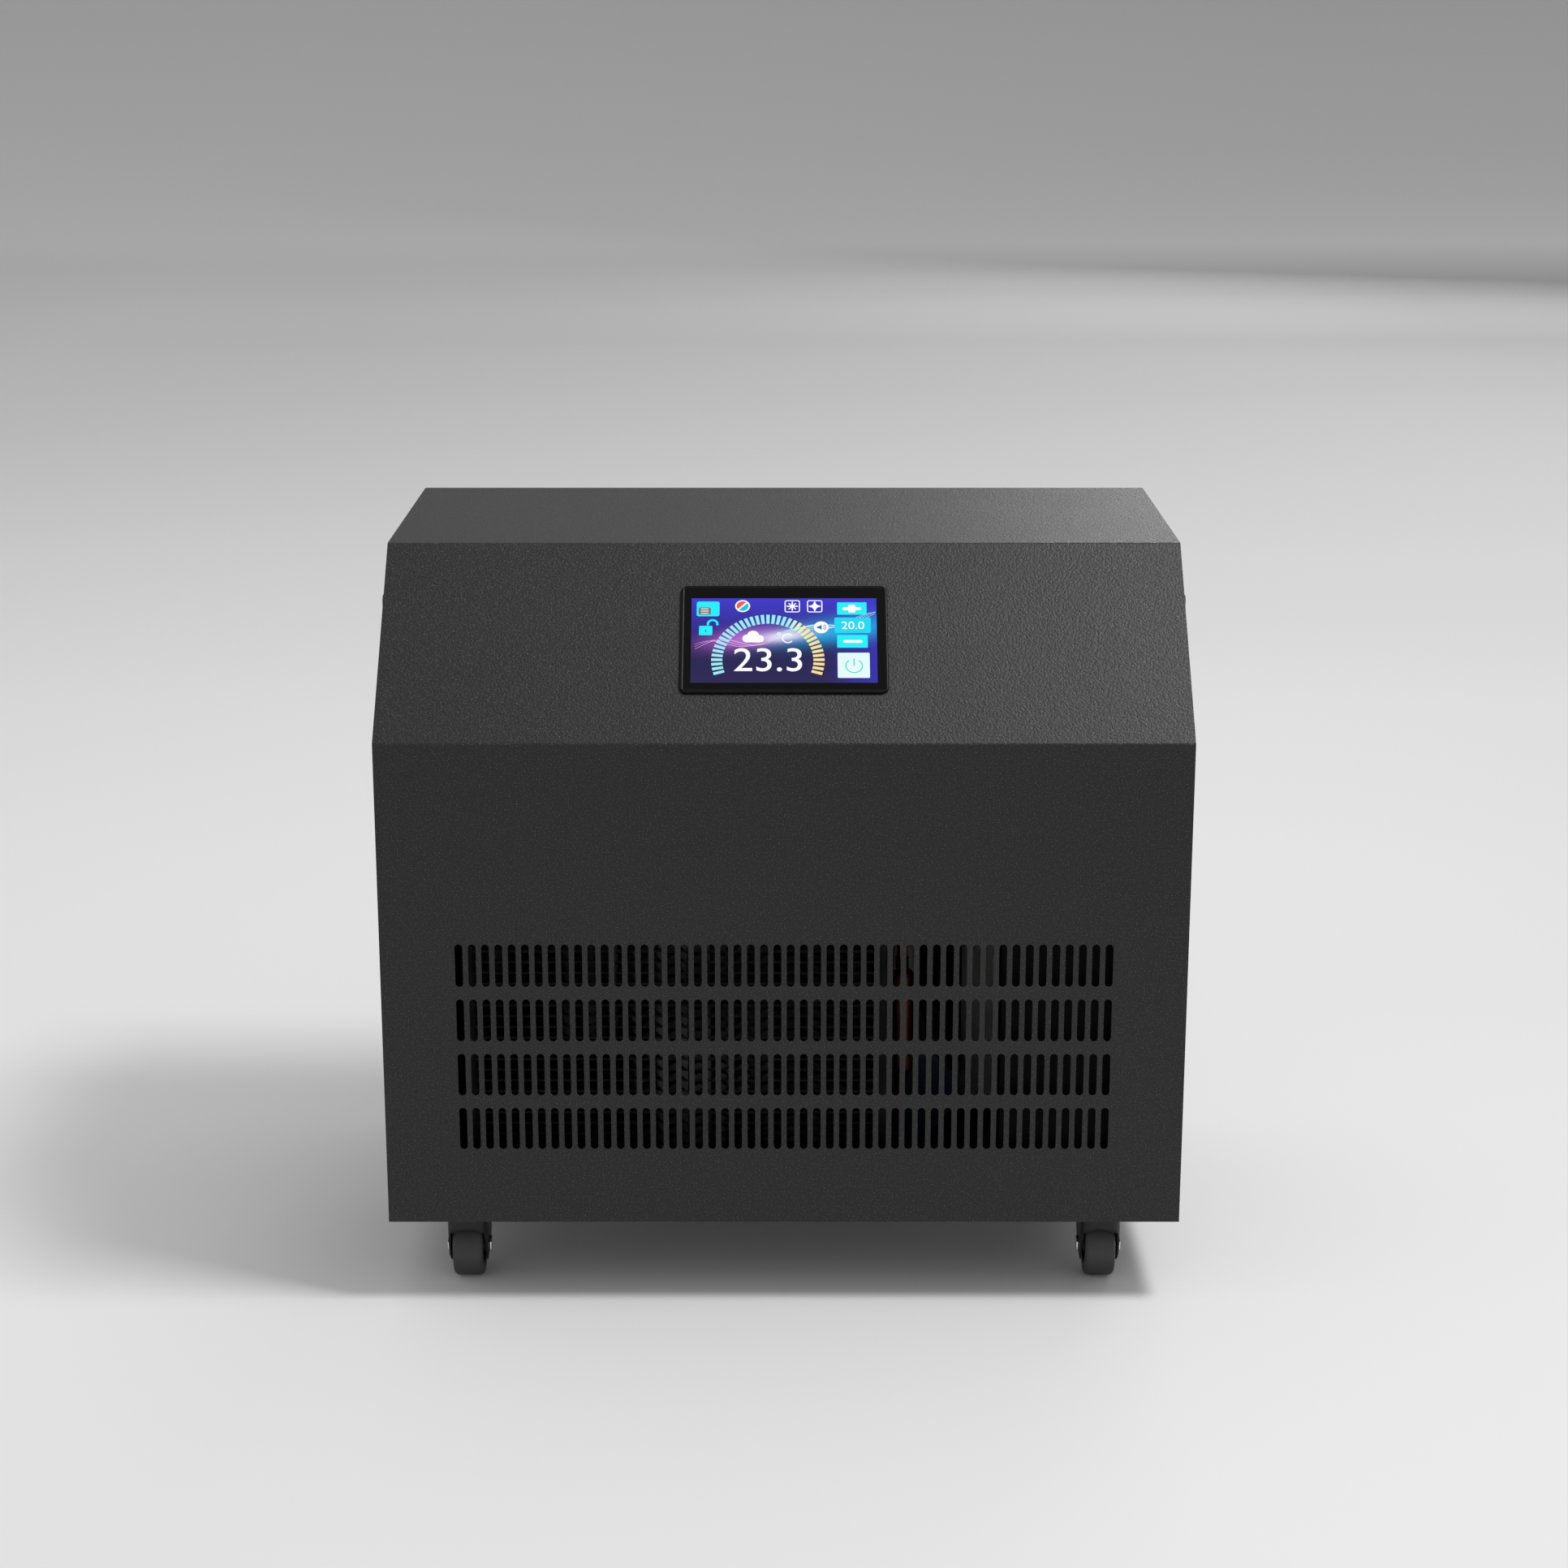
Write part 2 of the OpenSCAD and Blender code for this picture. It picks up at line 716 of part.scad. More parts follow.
module rear_panel() {
    y0 = rear_face_y - sheet_t;
    color("#2c2c2e") difference() {
        union() {
            block([-inner_w, y0, caster_h], [inner_w, rear_face_y, top_z - sheet_t - panel_gap]);
            rod_y(collar_r + sheet_t, y0 - collar_d, y0 + sheet_t / 2, fan_x, fan_axis_z, $fn = fine);
        }
        rod_y(collar_r, y0 - collar_d - over, rear_face_y + over, fan_x, fan_axis_z, $fn = fine);
        for (z = [pump_axis_z, outlet_z])
            rod_y(thread_d / 2 + fitting_hole_gap, y0 - over, rear_face_y + over, fitting_x(z), z);
        rod_y(drain_r + fitting_hole_gap, y0 - over, rear_face_y + over, hx_x, drain_z);
        translate([inlet_x, 0, inlet_z]) along_y(y0 - over, rear_face_y + over)
            square([socket_outer_w + cutout_gap, socket_outer_h + cutout_gap], center = true);
        for (a = guard_eye_angles) guard_eye(a) rod_y(screw_d / 2 + screw_gap, -screw_l, screw_l, 0, 0);
        screw_shanks(screw_d / 2 + screw_gap);
    }
}
// The inlet lines up with the pump's axis and the outlet with the heat exchanger's upper port
function fitting_x(z) = z == pump_axis_z ? pump_x : hx_x;

// Flush pull handle on the right side: flange, pocket, and a lip above the mouth to hook the fingers behind
module handle() {
    mouth_z0 = handle_z - pocket_h / 2 + pocket_wall;
    difference() {
        union() {
            translate([0, handle_y, handle_z]) along_x(half_w, half_w + handle_t)
                soft_rect(handle_w, handle_h, handle_r);
            translate([0, handle_y, handle_z]) along_x(half_w - pocket_depth, half_w + handle_t / 2)
                soft_rect(pocket_w, pocket_h, pocket_wall);
        }
        block([half_w - pocket_depth + pocket_wall, handle_y - mouth_w / 2, mouth_z0],
              [half_w, handle_y + mouth_w / 2, mouth_z0 + mouth_h + hook_h]);
        translate([0, handle_y, mouth_z0 + mouth_h / 2]) along_x(half_w - over, half_w + handle_t + over)
            soft_rect(mouth_w, mouth_h, 2 * pocket_wall);
    }
}
module right_handle() {
    color("#1b1b1c") handle();
}
module left_handle() {
    color("#1b1b1c") mirror([1, 0, 0]) handle();
}

module panel_screws() {
    color("#606368") {
        for (x = rear_screw_xs) {
            translate([x, back_y, top_z - screw_edge]) rotate([-90, 0, 0]) screw(screw_l);
            translate([x, rear_face_y, pan_screw_z]) rotate([-90, 0, 0]) screw(screw_l);
            translate([x, front_y + screw_edge + sheet_t, caster_h]) rotate([180, 0, 0]) screw(screw_l);
        }
        for (s = [-1, 1]) {
            for (z = side_screw_zs)
                translate([s * (half_w - screw_edge), back_y, z]) rotate([-90, 0, 0]) screw(screw_l);
            for (y = side_screw_ys)
                translate([s * half_w, y, pan_screw_z]) rotate([0, s * 90, 0]) screw(screw_l);
        }
        for (a = guard_eye_angles) guard_eye(a)
            translate([0, guard_wire_d, 0]) rotate([-90, 0, 0]) screw(screw_l + guard_wire_d);
    }
}

module display_bezel() {
    color("#0c0c0d") on_slope() difference() {
        union() {
            along_z(0, bezel_proud) soft_rect(bezel_w, bezel_h, bezel_r);
            along_z(-sleeve_depth, bezel_proud / 2) soft_rect(sleeve_w, sleeve_h, sleeve_r);
        }
        along_z(glass_z, bezel_proud + over) square([window_w, window_h], center = true);
        along_z(-over, bezel_proud + over)
            square([window_w - 2 * glass_lap, window_h - 2 * glass_lap], center = true);
        along_z(-sleeve_depth - over, 0)
            square([sleeve_w - 2 * bezel_wall, sleeve_h - 2 * bezel_wall], center = true);
    }
}
module display_glass() {
    color("#3a39b8") on_slope() along_z(glass_z, glass_z + glass_t)
        square([window_w - 2 * panel_gap, window_h - 2 * panel_gap], center = true);
}
module display_board() {
    w = sleeve_w - 2 * bezel_wall - 2 * panel_gap;
    h = sleeve_h - 2 * bezel_wall - 2 * panel_gap;
    z = -lcd_t - board_gap - board_t;
    color("#1f5c3a") on_slope() {
        along_z(-lcd_t, 0) square([w, h], center = true);
        along_z(z, z + board_t) square([w, h], center = true);
        for (s = [-1, 1], t = [-1, 1]) translate([s * w / 3, t * h / 3, z + board_t / 2])
            cylinder(r = standoff_r / 2, h = -z - lcd_t / 2 - board_t / 2);
        for (s = [-1, 0, 1]) translate([s * chip_spread, 0, z - chip_t])
            along_z(0, chip_t + board_t / 2) square(chip_w, center = true);
    }
}

module condenser_tubes() {
    z1 = floor_z + header_h;
    color("#9aa0a6") {
        for (x = [header_left, header_right]) {
            rod_z(header_d / 2, floor_z + core_foot, z1, x, core_y);
            block([x - header_d / 2, core_y - header_d / 2, floor_z],
                  [x + header_d / 2, core_y + header_d / 2, floor_z + core_foot + over]);
        }
        for (i = [0:tube_count - 1]) let (z = first_tube_z + i * tube_pitch)
            block([header_left, core_y0 + (core_d - tube_depth) / 2, z],
                  [header_right, core_y1 - (core_d - tube_depth) / 2, z + tube_h]);
        for (z = [gas_port_z, liquid_port_z])
            rod_y(port_d / 2 + panel_gap, core_y, port_y, header_right, z);
    }
}
tube_inset = 2;
tube_depth = min(core_d, header_d) - 2 * tube_inset;
port_y = core_y + header_d / 2 + port_l;
function fold_x(i, n) = core_x0 + panel_gap + i * (core_w - 2 * panel_gap) / n;
module condenser_fins() {
    n = 2 * round(core_w / fin_pitch);
    h = tube_pitch - tube_h;
    rise = h - fin_t;
    color("#b9bdc1") for (i = [0:tube_count - 2]) let (z = first_tube_z + tube_h + i * tube_pitch)
        along_y(core_y0, core_y1) polygon(concat(
            [for (k = [0:n]) [fold_x(k, n), z + (k % 2) * rise]],
            [for (k = [n:-1:0]) [fold_x(k, n), z + fin_t + (k % 2) * rise]]));
}

guard_eye_angles = [45, 135, 225, 315];
module guard_eye(a) {
    translate([fan_x, rear_face_y, fan_axis_z]) rotate([0, -a, 0]) translate([guard_r + guard_eye_x, 0, 0])
        children();
}
function guard_ring_r(i) = guard_plate_d / 2 + (guard_r - guard_plate_d / 2) * i / (guard_rings + 1);
module guard_ring(r, y) {
    translate([fan_x, y, fan_axis_z]) rotate([90, 0, 0]) rotate_extrude($fn = fine)
        translate([r, 0]) circle(d = guard_wire_d);
}
// Spot-welded wires: the mounting ring lies on the panel, the arms on it, and the other rings on the arms
module fan_guard() {
    step = guard_wire_d + run_gap;
    arm_y = guard_y + step;
    color("#202124") {
        guard_ring(guard_r, guard_y);
        for (i = [0:guard_rings]) guard_ring(guard_ring_r(i + 1), arm_y + step);
        for (i = [0:guard_arms - 1])
            translate([fan_x, arm_y, fan_axis_z]) rotate([0, 360 * i / guard_arms, 0])
                rod_x(guard_wire_d / 2, guard_plate_d / 4, guard_r + guard_wire_d / 2, 0, 0);
        for (a = guard_eye_angles) guard_eye(a) difference() {
            union() {
                rod_y(guard_eye_r, 0, guard_wire_d, 0, 0);
                block([guard_wire_d / 2 + run_gap - guard_eye_x, 0, -screw_d], [0, guard_wire_d, screw_d]);
            }
            rod_y(screw_d / 2 + screw_gap, -over, guard_wire_d + over, 0, 0);
        }
        rod_y(guard_plate_d / 2, rear_face_y, rear_face_y + guard_wire_d, fan_x, fan_axis_z);
    }
}
module fan_motor() {
    core_r = can_d / 2 - can_wall - core_clear;
    color("#55585c") {
        rod_y(guard_plate_d / 2, motor_face_y, rear_face_y, fan_x, fan_axis_z);
        rod_y(core_r, can_y1 - stator_core_l, motor_face_y + motor_flange_t / 2, fan_x, fan_axis_z);
        rod_y(spindle_d / 2, can_y0, can_y1 - can_wall, fan_x, fan_axis_z);
    }
}
module fan_blade() {
    root = can_d / 2 - blade_root;
    mid_y = (can_y0 + can_y1) / 2;
    span = fan_r - root;
    color("#2a2c30") {
        difference() {
            rod_y(can_d / 2, can_y0, can_y1, fan_x, fan_axis_z);
            rod_y(can_d / 2 - can_wall, can_y0 + 3 * can_wall, can_y1 + over, fan_x, fan_axis_z);
            rod_y(spindle_d / 2 + run_gap, can_y0 - over, can_y1, fan_x, fan_axis_z);
        }
        intersection() {
            for (i = [0:blade_count - 1])
                translate([fan_x, mid_y, fan_axis_z]) rotate([0, 360 * i / blade_count, 0])
                    translate([root, 0, 0]) rotate([90 - blade_pitch, 0, 0]) translate([0, 0, -blade_t / 2])
                        linear_extrude(blade_t) polygon(blade_outline(span));
            rod_y(fan_r, can_y0 - over, can_y1 + over, fan_x, fan_axis_z, $fn = fine);
        }
    }
}
// A blade widens from its root to its tip; the points are shares of its span and of its chord
blade_shares = [
    [0, -0.3], [0.3, -0.46], [0.7, -0.6], [1.05, -0.6],
    [1.05, 0.55], [0.7, 0.48], [0.3, 0.36], [0, 0.3]];
function blade_outline(span) = [for (p = blade_shares) [p.x * span, p.y * 2 * blade_chord]];

// Shell of revolution with domed ends, between two heights
function dome_profile(r, z0, z1, dome) = concat(
    [[0, z0]],
    [for (i = [0:bend_steps]) let (a = 90 * i / bend_steps) [r * sin(a), z0 + dome * (1 - cos(a))]],
    [for (i = [0:bend_steps]) let (a = 90 * i / bend_steps) [r * cos(a), z1 - dome * (1 - sin(a))]],
    [[0, z1]]);
function without_repeats(p) = [for (i = [0:len(p) - 1]) if (i == 0 || norm(p[i] - p[i - 1]) > run_gap) p[i]];
module domed(r, z0, z1, dome) {
    rotate_extrude() polygon(without_repeats(dome_profile(r, z0, z1, dome)));
}
module compressor_shell() {
    color("#1a1a1b") {
        difference() {
            union() {
                translate([comp_x, comp_y, 0])
                    domed(comp_r, comp_z0 - comp_plate_t / 2, comp_top, comp_dome);
                rod_x(suction_r + boss_wall, comp_x, comp_x + comp_r + boss_l, comp_y, suction_z);
                rod_z(discharge_r + stub_wall, comp_top - comp_dome, comp_top + stub_h, comp_x, comp_y);
            }
            translate([comp_x, comp_y, 0])
                domed(comp_r - comp_wall, comp_z0 + comp_wall, comp_top - comp_wall, comp_dome - comp_wall);
        }
        difference() {
            translate([comp_x, comp_y, 0]) along_z(comp_seat_z, comp_z0)
                soft_rect(comp_plate_w, comp_plate_w, foot_r);
            foot_places() cylinder(d = foot_bore_d, h = 2 * foot_h, center = true);
        }
    }
}
module foot_places() {
    for (s = [-1, 1], t = [-1, 1])
        translate([comp_x + s * foot_spread / 2, comp_y + t * foot_spread / 2, comp_seat_z]) children();
}
module compressor_feet() {
    color("#1d1d1d") foot_places() difference() {
        union() {
            translate([0, 0, -foot_h]) cylinder(r = foot_r, h = foot_h);
            cylinder(d = foot_bore_d - 2 * panel_gap, h = comp_plate_t + foot_lip);
        }
        cylinder(d = screw_d, h = 4 * foot_h, center = true);
    }
}
module compressor_stator() {
    r = comp_r - comp_wall - move_gap;
    z0 = stator_z - winding_h;
    z1 = stator_z + stator_l + winding_h;
    color("#6d5137") difference() {
        union() {
            rod_z(r, stator_z, stator_z + stator_l, comp_x, comp_y);
            rod_z(winding_r1, z0, z1, comp_x, comp_y);
        }
        rod_z(stator_bore_r, z0 - over, z1 + over, comp_x, comp_y);
        for (z = [z0 - over, stator_z + stator_l])
            rod_z(winding_r0, z, z + winding_h + over, comp_x, comp_y);
    }
}
module compressor_rotor() {
    z1 = stator_z + stator_l;
    color("#8b8f94") {
        rod_z(stator_bore_r - air_gap, stator_z, z1, comp_x, comp_y);
        rod_z(shaft_r, block_z - block_hub_h, z1 + winding_h, comp_x, comp_y);
        difference() {
            rod_z(stator_bore_r - 4 * air_gap, z1 - stator_l / 2, z1 + weight_h, comp_x, comp_y);
            block([comp_x - comp_r, comp_y, z1], [comp_x + comp_r, comp_y + comp_r, comp_top]);
        }
    }
}
module compressor_block() {
    color("#7c8085") difference() {
        union() {
            rod_z(comp_r - comp_wall - move_gap, block_z, block_z + block_t / 2, comp_x, comp_y);
            rod_z(block_hub_r, block_z - block_hub_h / 2, block_z + block_t, comp_x, comp_y);
        }
        rod_z(shaft_r + run_gap, block_z - block_hub_h - over, comp_top, comp_x, comp_y);
    }
}
module compressor_accumulator() {
    accu_top = accu_z0 + accu_h;
    color("#1a1a1b") {
        translate([accu_x, comp_y, 0]) domed(accu_r, accu_z0, accu_top, accu_r / 2);
        rod_z(suction_r + stub_wall, accu_top - accu_r / 2, accu_top + accu_neck, accu_x, comp_y);
        swept_rod(route([
            [accu_x, comp_y, accu_z0 + accu_r / 2],
            [accu_x, comp_y, suction_z],
            [comp_x + comp_r + boss_l, comp_y, suction_z]], pipe_bend), suction_r, pipe_sides);
        block([comp_x + comp_r + panel_gap, comp_y - accu_gap, accu_z0 + accu_h / 2],
              [accu_x, comp_y + accu_gap, accu_z0 + accu_h / 2 + accu_gap]);
    }
}

module heat_exchanger_shell() {
    color("#d9dadb") {
        difference() {
            union() {
                rod_z(hx_foot_r, floor_z, hx_z0 + hx_lid_t / 2, hx_x, hx_y);
                rod_z(hx_r, hx_z0, hx_top - hx_lid_t / 2, hx_x, hx_y);
                for (z = [hx_z0, hx_top - hx_lid_t]) rod_z(hx_lid_r, z, z + hx_lid_t, hx_x, hx_y);
                rod_x(barb_r, hx_x - hx_lid_r - barb_l, hx_x, hx_y, pump_port_z);
                rod_y(barb_r, hx_y, hx_y + hx_lid_r + barb_l, hx_x, outlet_z);
                rod_y(drain_bore_r + port_wall, hx_y, drain_port_y, hx_x, drain_z);
            }
            rod_z(hx_r - hx_wall, hx_z0 + hx_lid_t, hx_top - hx_lid_t, hx_x, hx_y);
            rod_x(barb_r - port_wall, hx_x - hx_lid_r - barb_l - over, hx_x, hx_y, pump_port_z);
            rod_y(barb_r - port_wall, hx_y, hx_y + hx_lid_r + barb_l + over, hx_x, outlet_z);
            rod_y(drain_bore_r, hx_y, drain_port_y + over, hx_x, drain_z);
            for (x = [hx_x - coil_r, hx_x])
                rod_z(coil_tube_r + coil_hole_gap, hx_top - 2 * hx_lid_t, hx_top + over, x, hx_y);
        }
    }
}
drain_port_y = rear_face_y - sheet_t - drain_hex_t;
// The coil comes down beside the shell's wall, winds to the bottom and returns up the middle
function coil_point(i) = let (a = 180 + 360 * i / coil_steps, n = coil_turns * coil_steps)
    [hx_x + coil_r * cos(a), hx_y + coil_r * sin(a), coil_z1 - (coil_z1 - coil_z0) * i / n];
module heat_exchanger_coil() {
    n = coil_turns * coil_steps;
    bottom = [hx_x, hx_y, coil_z0 - coil_tube_r / 4];
    top = [hx_x, hx_y, coil_top];
    color("#a7a39a") swept_rod(concat(
        [[hx_x - coil_r, hx_y, coil_top]],
        corner_arc([hx_x - coil_r, hx_y, coil_top], coil_point(0), coil_point(1), coil_tube_r, route_steps),
        [for (i = [1:n - 1]) coil_point(i)],
        corner_arc(coil_point(n - 1), coil_point(n), bottom, coil_tube_r / 2, 2),
        corner_arc(coil_point(n), bottom, top, coil_return_r, route_steps),
        [top]), coil_tube_r, 6);
}

module filter_drier() {
    z1 = drier_z0 + drier_h;
    color("#b4703c") {
        translate([drier_x, drier_y, 0]) domed(drier_r, drier_z0, z1, drier_r);
        rod_z(liquid_r + drier_end_wall, drier_z0 - stub_h, z1 + stub_h, drier_x, drier_y);
    }
}
module expansion_valve() {
    color("#b08d4a") {
        rod_z(valve_r, coil_top, coil_top + valve_h, valve_x, hx_y);
        rod_x(liquid_r + stub_wall, valve_x - valve_r - stub_h, valve_x, hx_y, valve_port_z);
        rod_z(valve_cap_r, coil_top + valve_h, coil_top + valve_h + valve_cap_t, valve_x, hx_y);
    }
}
gas_rise = 110;
gas_run_z = comp_top + gas_rise;
gas_run_y = comp_y - 3 * pipe_bend;
module discharge_pipe() {
    color("#b4703c") swept_rod(route([
        [comp_x, comp_y, comp_top + stub_h],
        [comp_x, comp_y, gas_run_z],
        [comp_x, gas_run_y, gas_run_z],
        [header_right, gas_run_y, gas_run_z],
        [header_right, gas_run_y, gas_port_z],
        [header_right, port_y, gas_port_z]], pipe_bend), discharge_r, pipe_sides);
}
module liquid_pipe() {
    color("#b4703c") {
        swept_rod(route([
            [header_right, port_y, liquid_port_z],
            [header_right, drier_y, liquid_port_z],
            [drier_x, drier_y, liquid_port_z],
            [drier_x, drier_y, drier_z0 - stub_h]], liquid_bend), liquid_r, pipe_sides);
        swept_rod(route([
            [drier_x, drier_y, drier_z0 + drier_h + stub_h],
            [drier_x, drier_y, valve_port_z],
            [drier_x, hx_y, valve_port_z],
            [valve_x - valve_r - stub_h, hx_y, valve_port_z]], pipe_bend), liquid_r, pipe_sides);
    }
}
liquid_bend = 8;
suction_drop = 110;
suction_run_z = top_z - suction_drop;
module suction_pipe() {
    color("#b4703c") swept_rod(route([
        [hx_x, hx_y, coil_top],
        [hx_x, hx_y, suction_run_z],
        [hx_x, comp_y, suction_run_z],
        [accu_x, comp_y, suction_run_z],
        [accu_x, comp_y, accu_z0 + accu_h + accu_neck]], pipe_bend), suction_r, pipe_sides);
}

module pump_housing() {
    y1 = volute_y1;
    color("#26282b") {
        difference() {
            union() {
                rod_y(volute_r, volute_y0, y1, pump_x, pump_axis_z);
                rod_y(barb_r, y1 - volute_wall, y1 + barb_l, pump_x, pump_axis_z);
                rod_z(barb_r, pump_axis_z, pump_axis_z + volute_r + barb_l, pump_x, hx_y);
            }
            rod_y(volute_r - volute_wall, volute_y0 + volute_wall, y1 - volute_wall, pump_x, pump_axis_z);
            rod_y(barb_r - port_wall, y1 - 2 * volute_wall, y1 + barb_l + over, pump_x, pump_axis_z);
            rod_z(barb_r - port_wall, pump_axis_z + volute_r - 2 * volute_wall,
                  pump_axis_z + 2 * volute_r + barb_l, pump_x, hx_y);
            rod_y(pump_shaft_r + 2 * move_gap, volute_y0 - over, y1 - volute_wall, pump_x, pump_axis_z);
        }
    }
}
module pump_impeller() {
    y0 = volute_y0 + volute_wall + move_gap + impeller_back;
    color("#c9cbcc") {
        rod_y(impeller_r, y0, y0 + impeller_t, pump_x, pump_axis_z);
        rod_y(pump_shaft_r + impeller_hub_wall, y0, y0 + vane_h, pump_x, pump_axis_z);
        rod_y(pump_shaft_r, volute_y0 - pump_shaft_l + impeller_back, y0 + vane_h, pump_x, pump_axis_z);
        for (i = [0:vane_count - 1]) translate([pump_x, 0, pump_axis_z]) rotate([0, 360 * i / vane_count, 0])
            block([pump_shaft_r + impeller_hub_wall / 2, y0 + impeller_t / 2, -vane_t / 2],
                  [impeller_r - vane_t, y0 + vane_h - impeller_back, vane_t / 2]);
    }
}
module pump_motor() {
    r = pump_d / 2 - rib_h;
    color("#3a5d8c") difference() {
        union() {
            rod_y(r, motor_y0, volute_y0, pump_x, pump_axis_z);
            for (i = [0:rib_count - 1])
                translate([pump_x, 0, pump_axis_z]) rotate([0, 360 * i / rib_count, 0])
                    block([0, motor_y0 + 2 * rib_h, -rib_t / 2],
                          [r + rib_h, volute_y0 - 2 * rib_h, rib_t / 2]);
            block([pump_x - pump_foot_w / 2, motor_y0 + 3 * rib_h, floor_z],
                  [pump_x + pump_foot_w / 2, volute_y0 - 3 * rib_h, floor_z + pump_foot_t]);
            block([pump_x - pump_foot_w / 3, motor_y0 + 4 * rib_h, floor_z],
                  [pump_x + pump_foot_w / 3, volute_y0 - 4 * rib_h, pump_axis_z]);
        }
        rod_y(pump_shaft_r + run_gap, volute_y0 - pump_shaft_l, volute_y0 + over, pump_x, pump_axis_z);
    }
}

// Inner end of a fitting's barb
barb_end_y = rear_face_y - sheet_t - nut_ring_t - barb_l;
hose_clear = clear_bore(hose_bore_r, hose_sides);
module inlet_hose() {
    color("#e4e4e2") difference() {
        rod_y(hose_r, volute_y1, barb_end_y + barb_l, pump_x, pump_axis_z);
        rod_y(hose_bore_r, volute_y1 - over, barb_end_y + barb_l + over, pump_x, pump_axis_z);
    }
}
module outlet_hose() {
    y0 = hx_y + hx_lid_r;
    color("#e4e4e2") difference() {
        rod_y(hose_r, y0, barb_end_y + barb_l, hx_x, outlet_z);
        rod_y(hose_bore_r, y0 - over, barb_end_y + barb_l + over, hx_x, outlet_z);
    }
}
module pump_hose() {
    color("#e4e4e2") swept_hose(route([
        [pump_x, hx_y, pump_axis_z + volute_r + panel_gap],
        [pump_x, hx_y, pump_port_z],
        [hx_x - hx_lid_r, hx_y, pump_port_z]], 2 * hose_r), hose_r + panel_gap, hose_clear, hose_sides);
}
module fitting(x, z) {
    y0 = rear_face_y;
    difference() {
        union() {
            translate([x, y0 + hex_t, z]) rotate([90, 0, 0])
                cylinder(r = fitting_flange_r, h = hex_t, $fn = 6);
            rod_y(thread_d / 2, y0 - sheet_t - nut_ring_t, y0 + hex_t + thread_l, x, z);
            rod_y(barb_r, barb_end_y, y0, x, z);
        }
        rod_y(fitting_bore_d / 2, y0 - 2 * over, y0 + hex_t + thread_l + over, x, z);
        rod_y(barb_r - port_wall, barb_end_y - over, y0, x, z);
    }
}
module water_fittings() {
    color("#b9a15a") for (z = [pump_axis_z, outlet_z]) {
        fitting(fitting_x(z), z);
        translate([fitting_x(z), rear_face_y - sheet_t, z]) rotate([90, 0, 0]) difference() {
            cylinder(r = fitting_flange_r, h = nut_ring_t, $fn = 6);
            translate([0, 0, -over]) cylinder(d = thread_d + 2 * run_gap, h = nut_ring_t + 2 * over);
        }
    }
}

module drain_fitting() {
    y0 = rear_face_y;
    color("#b9a15a") difference() {
        union() {
            translate([hx_x, y0 + drain_hex_t, drain_z]) rotate([90, 0, 0])
                cylinder(r = cap_r, h = drain_hex_t, $fn = 6);
            rod_y(drain_r, drain_port_y, y0 + drain_hex_t + drain_l, hx_x, drain_z);
        }
        rod_y(drain_bore_r, drain_port_y - over, y0 + drain_hex_t + drain_l + over, hx_x, drain_z);
    }
}
module drain_cap() {
    y0 = rear_face_y + drain_hex_t + move_gap;
    y1 = rear_face_y + drain_hex_t + drain_l;
    color("#17181a") difference() {
        rod_y(cap_r, y0, y1 + cap_wall, hx_x, drain_z);
        rod_y(drain_r + run_gap, y0 - over, y1 + move_gap, hx_x, drain_z);
        for (i = [0:cap_grip_count - 1])
            translate([hx_x, 0, drain_z]) rotate([0, 360 * i / cap_grip_count, 0])
                rod_y(cap_wall / 2, y0 - over, y1 + cap_wall + over, cap_r, 0, $fn = 24);
    }
}

module control_box() {
    color("#9b9ea2") {
        difference() {
            block([box_x0, box_y0 + box_t, box_z0], [box_x1, box_y1, box_z1]);
            block([box_x0 + box_t, box_y0 + 2 * box_t, box_z0 + box_t],
                  [box_x1 - box_t, box_y1 - box_t, box_z1 - box_t]);
            block([box_x0 + box_lip, box_y0 - over, box_z0 + box_lip],
                  [box_x1 - box_lip, box_y0 + box_d / 2, box_z1 - box_lip]);
        }
        for (x = [box_x0, box_x1 - box_lip])
            block([x, box_y0 + box_t, floor_z], [x + box_lip, box_y1, box_z0 + box_t / 2]);
    }
}
module control_box_lid() {
    color("#a9acb0") block([box_x0, box_y0, box_z0], [box_x1, box_y0 + box_t, box_z1]);
}
module control_board() {
    x0 = box_x0 + pcb_margin;
    x1 = box_x1 - pcb_margin;
    z0 = box_z0 + pcb_margin;
    z1 = box_z1 - pcb_margin;
    y0 = box_y1 - box_t - standoff_h - pcb_t;
    w = x1 - x0;
    h = z1 - z0;
    color("#1f5c3a") {
        block([x0, y0, z0], [x1, y0 + pcb_t, z1]);
        for (s = standoff_x_shares, t = standoff_z_shares)
            rod_y(standoff_r, y0 + pcb_t / 2, box_y1 - box_t, x0 + s * w, z0 + t * h);
        for (p = board_part_shares) let (low = [x0 + p[0] * w, z0 + p[1] * h])
            block([low.x, y0 - p[4] * box_d, low.y], [low.x + p[2] * w, y0 + pcb_t / 2, low.y + p[3] * h]);
    }
}
standoff_x_shares = [0.08, 0.92];
standoff_z_shares = [0.05, 0.95];
// Relays, transformer, capacitors and terminals: place, width and height on the board, height off it
board_part_shares = [
    [0.08, 0.78, 0.18, 0.14, 0.28], [0.32, 0.78, 0.18, 0.14, 0.28], [0.56, 0.78, 0.18, 0.14, 0.28],
    [0.1, 0.42, 0.36, 0.24, 0.45], [0.56, 0.46, 0.14, 0.12, 0.35], [0.76, 0.46, 0.14, 0.12, 0.35],
    [0.55, 0.3, 0.24, 0.1, 0.08], [0.08, 0.12, 0.84, 0.08, 0.22]];

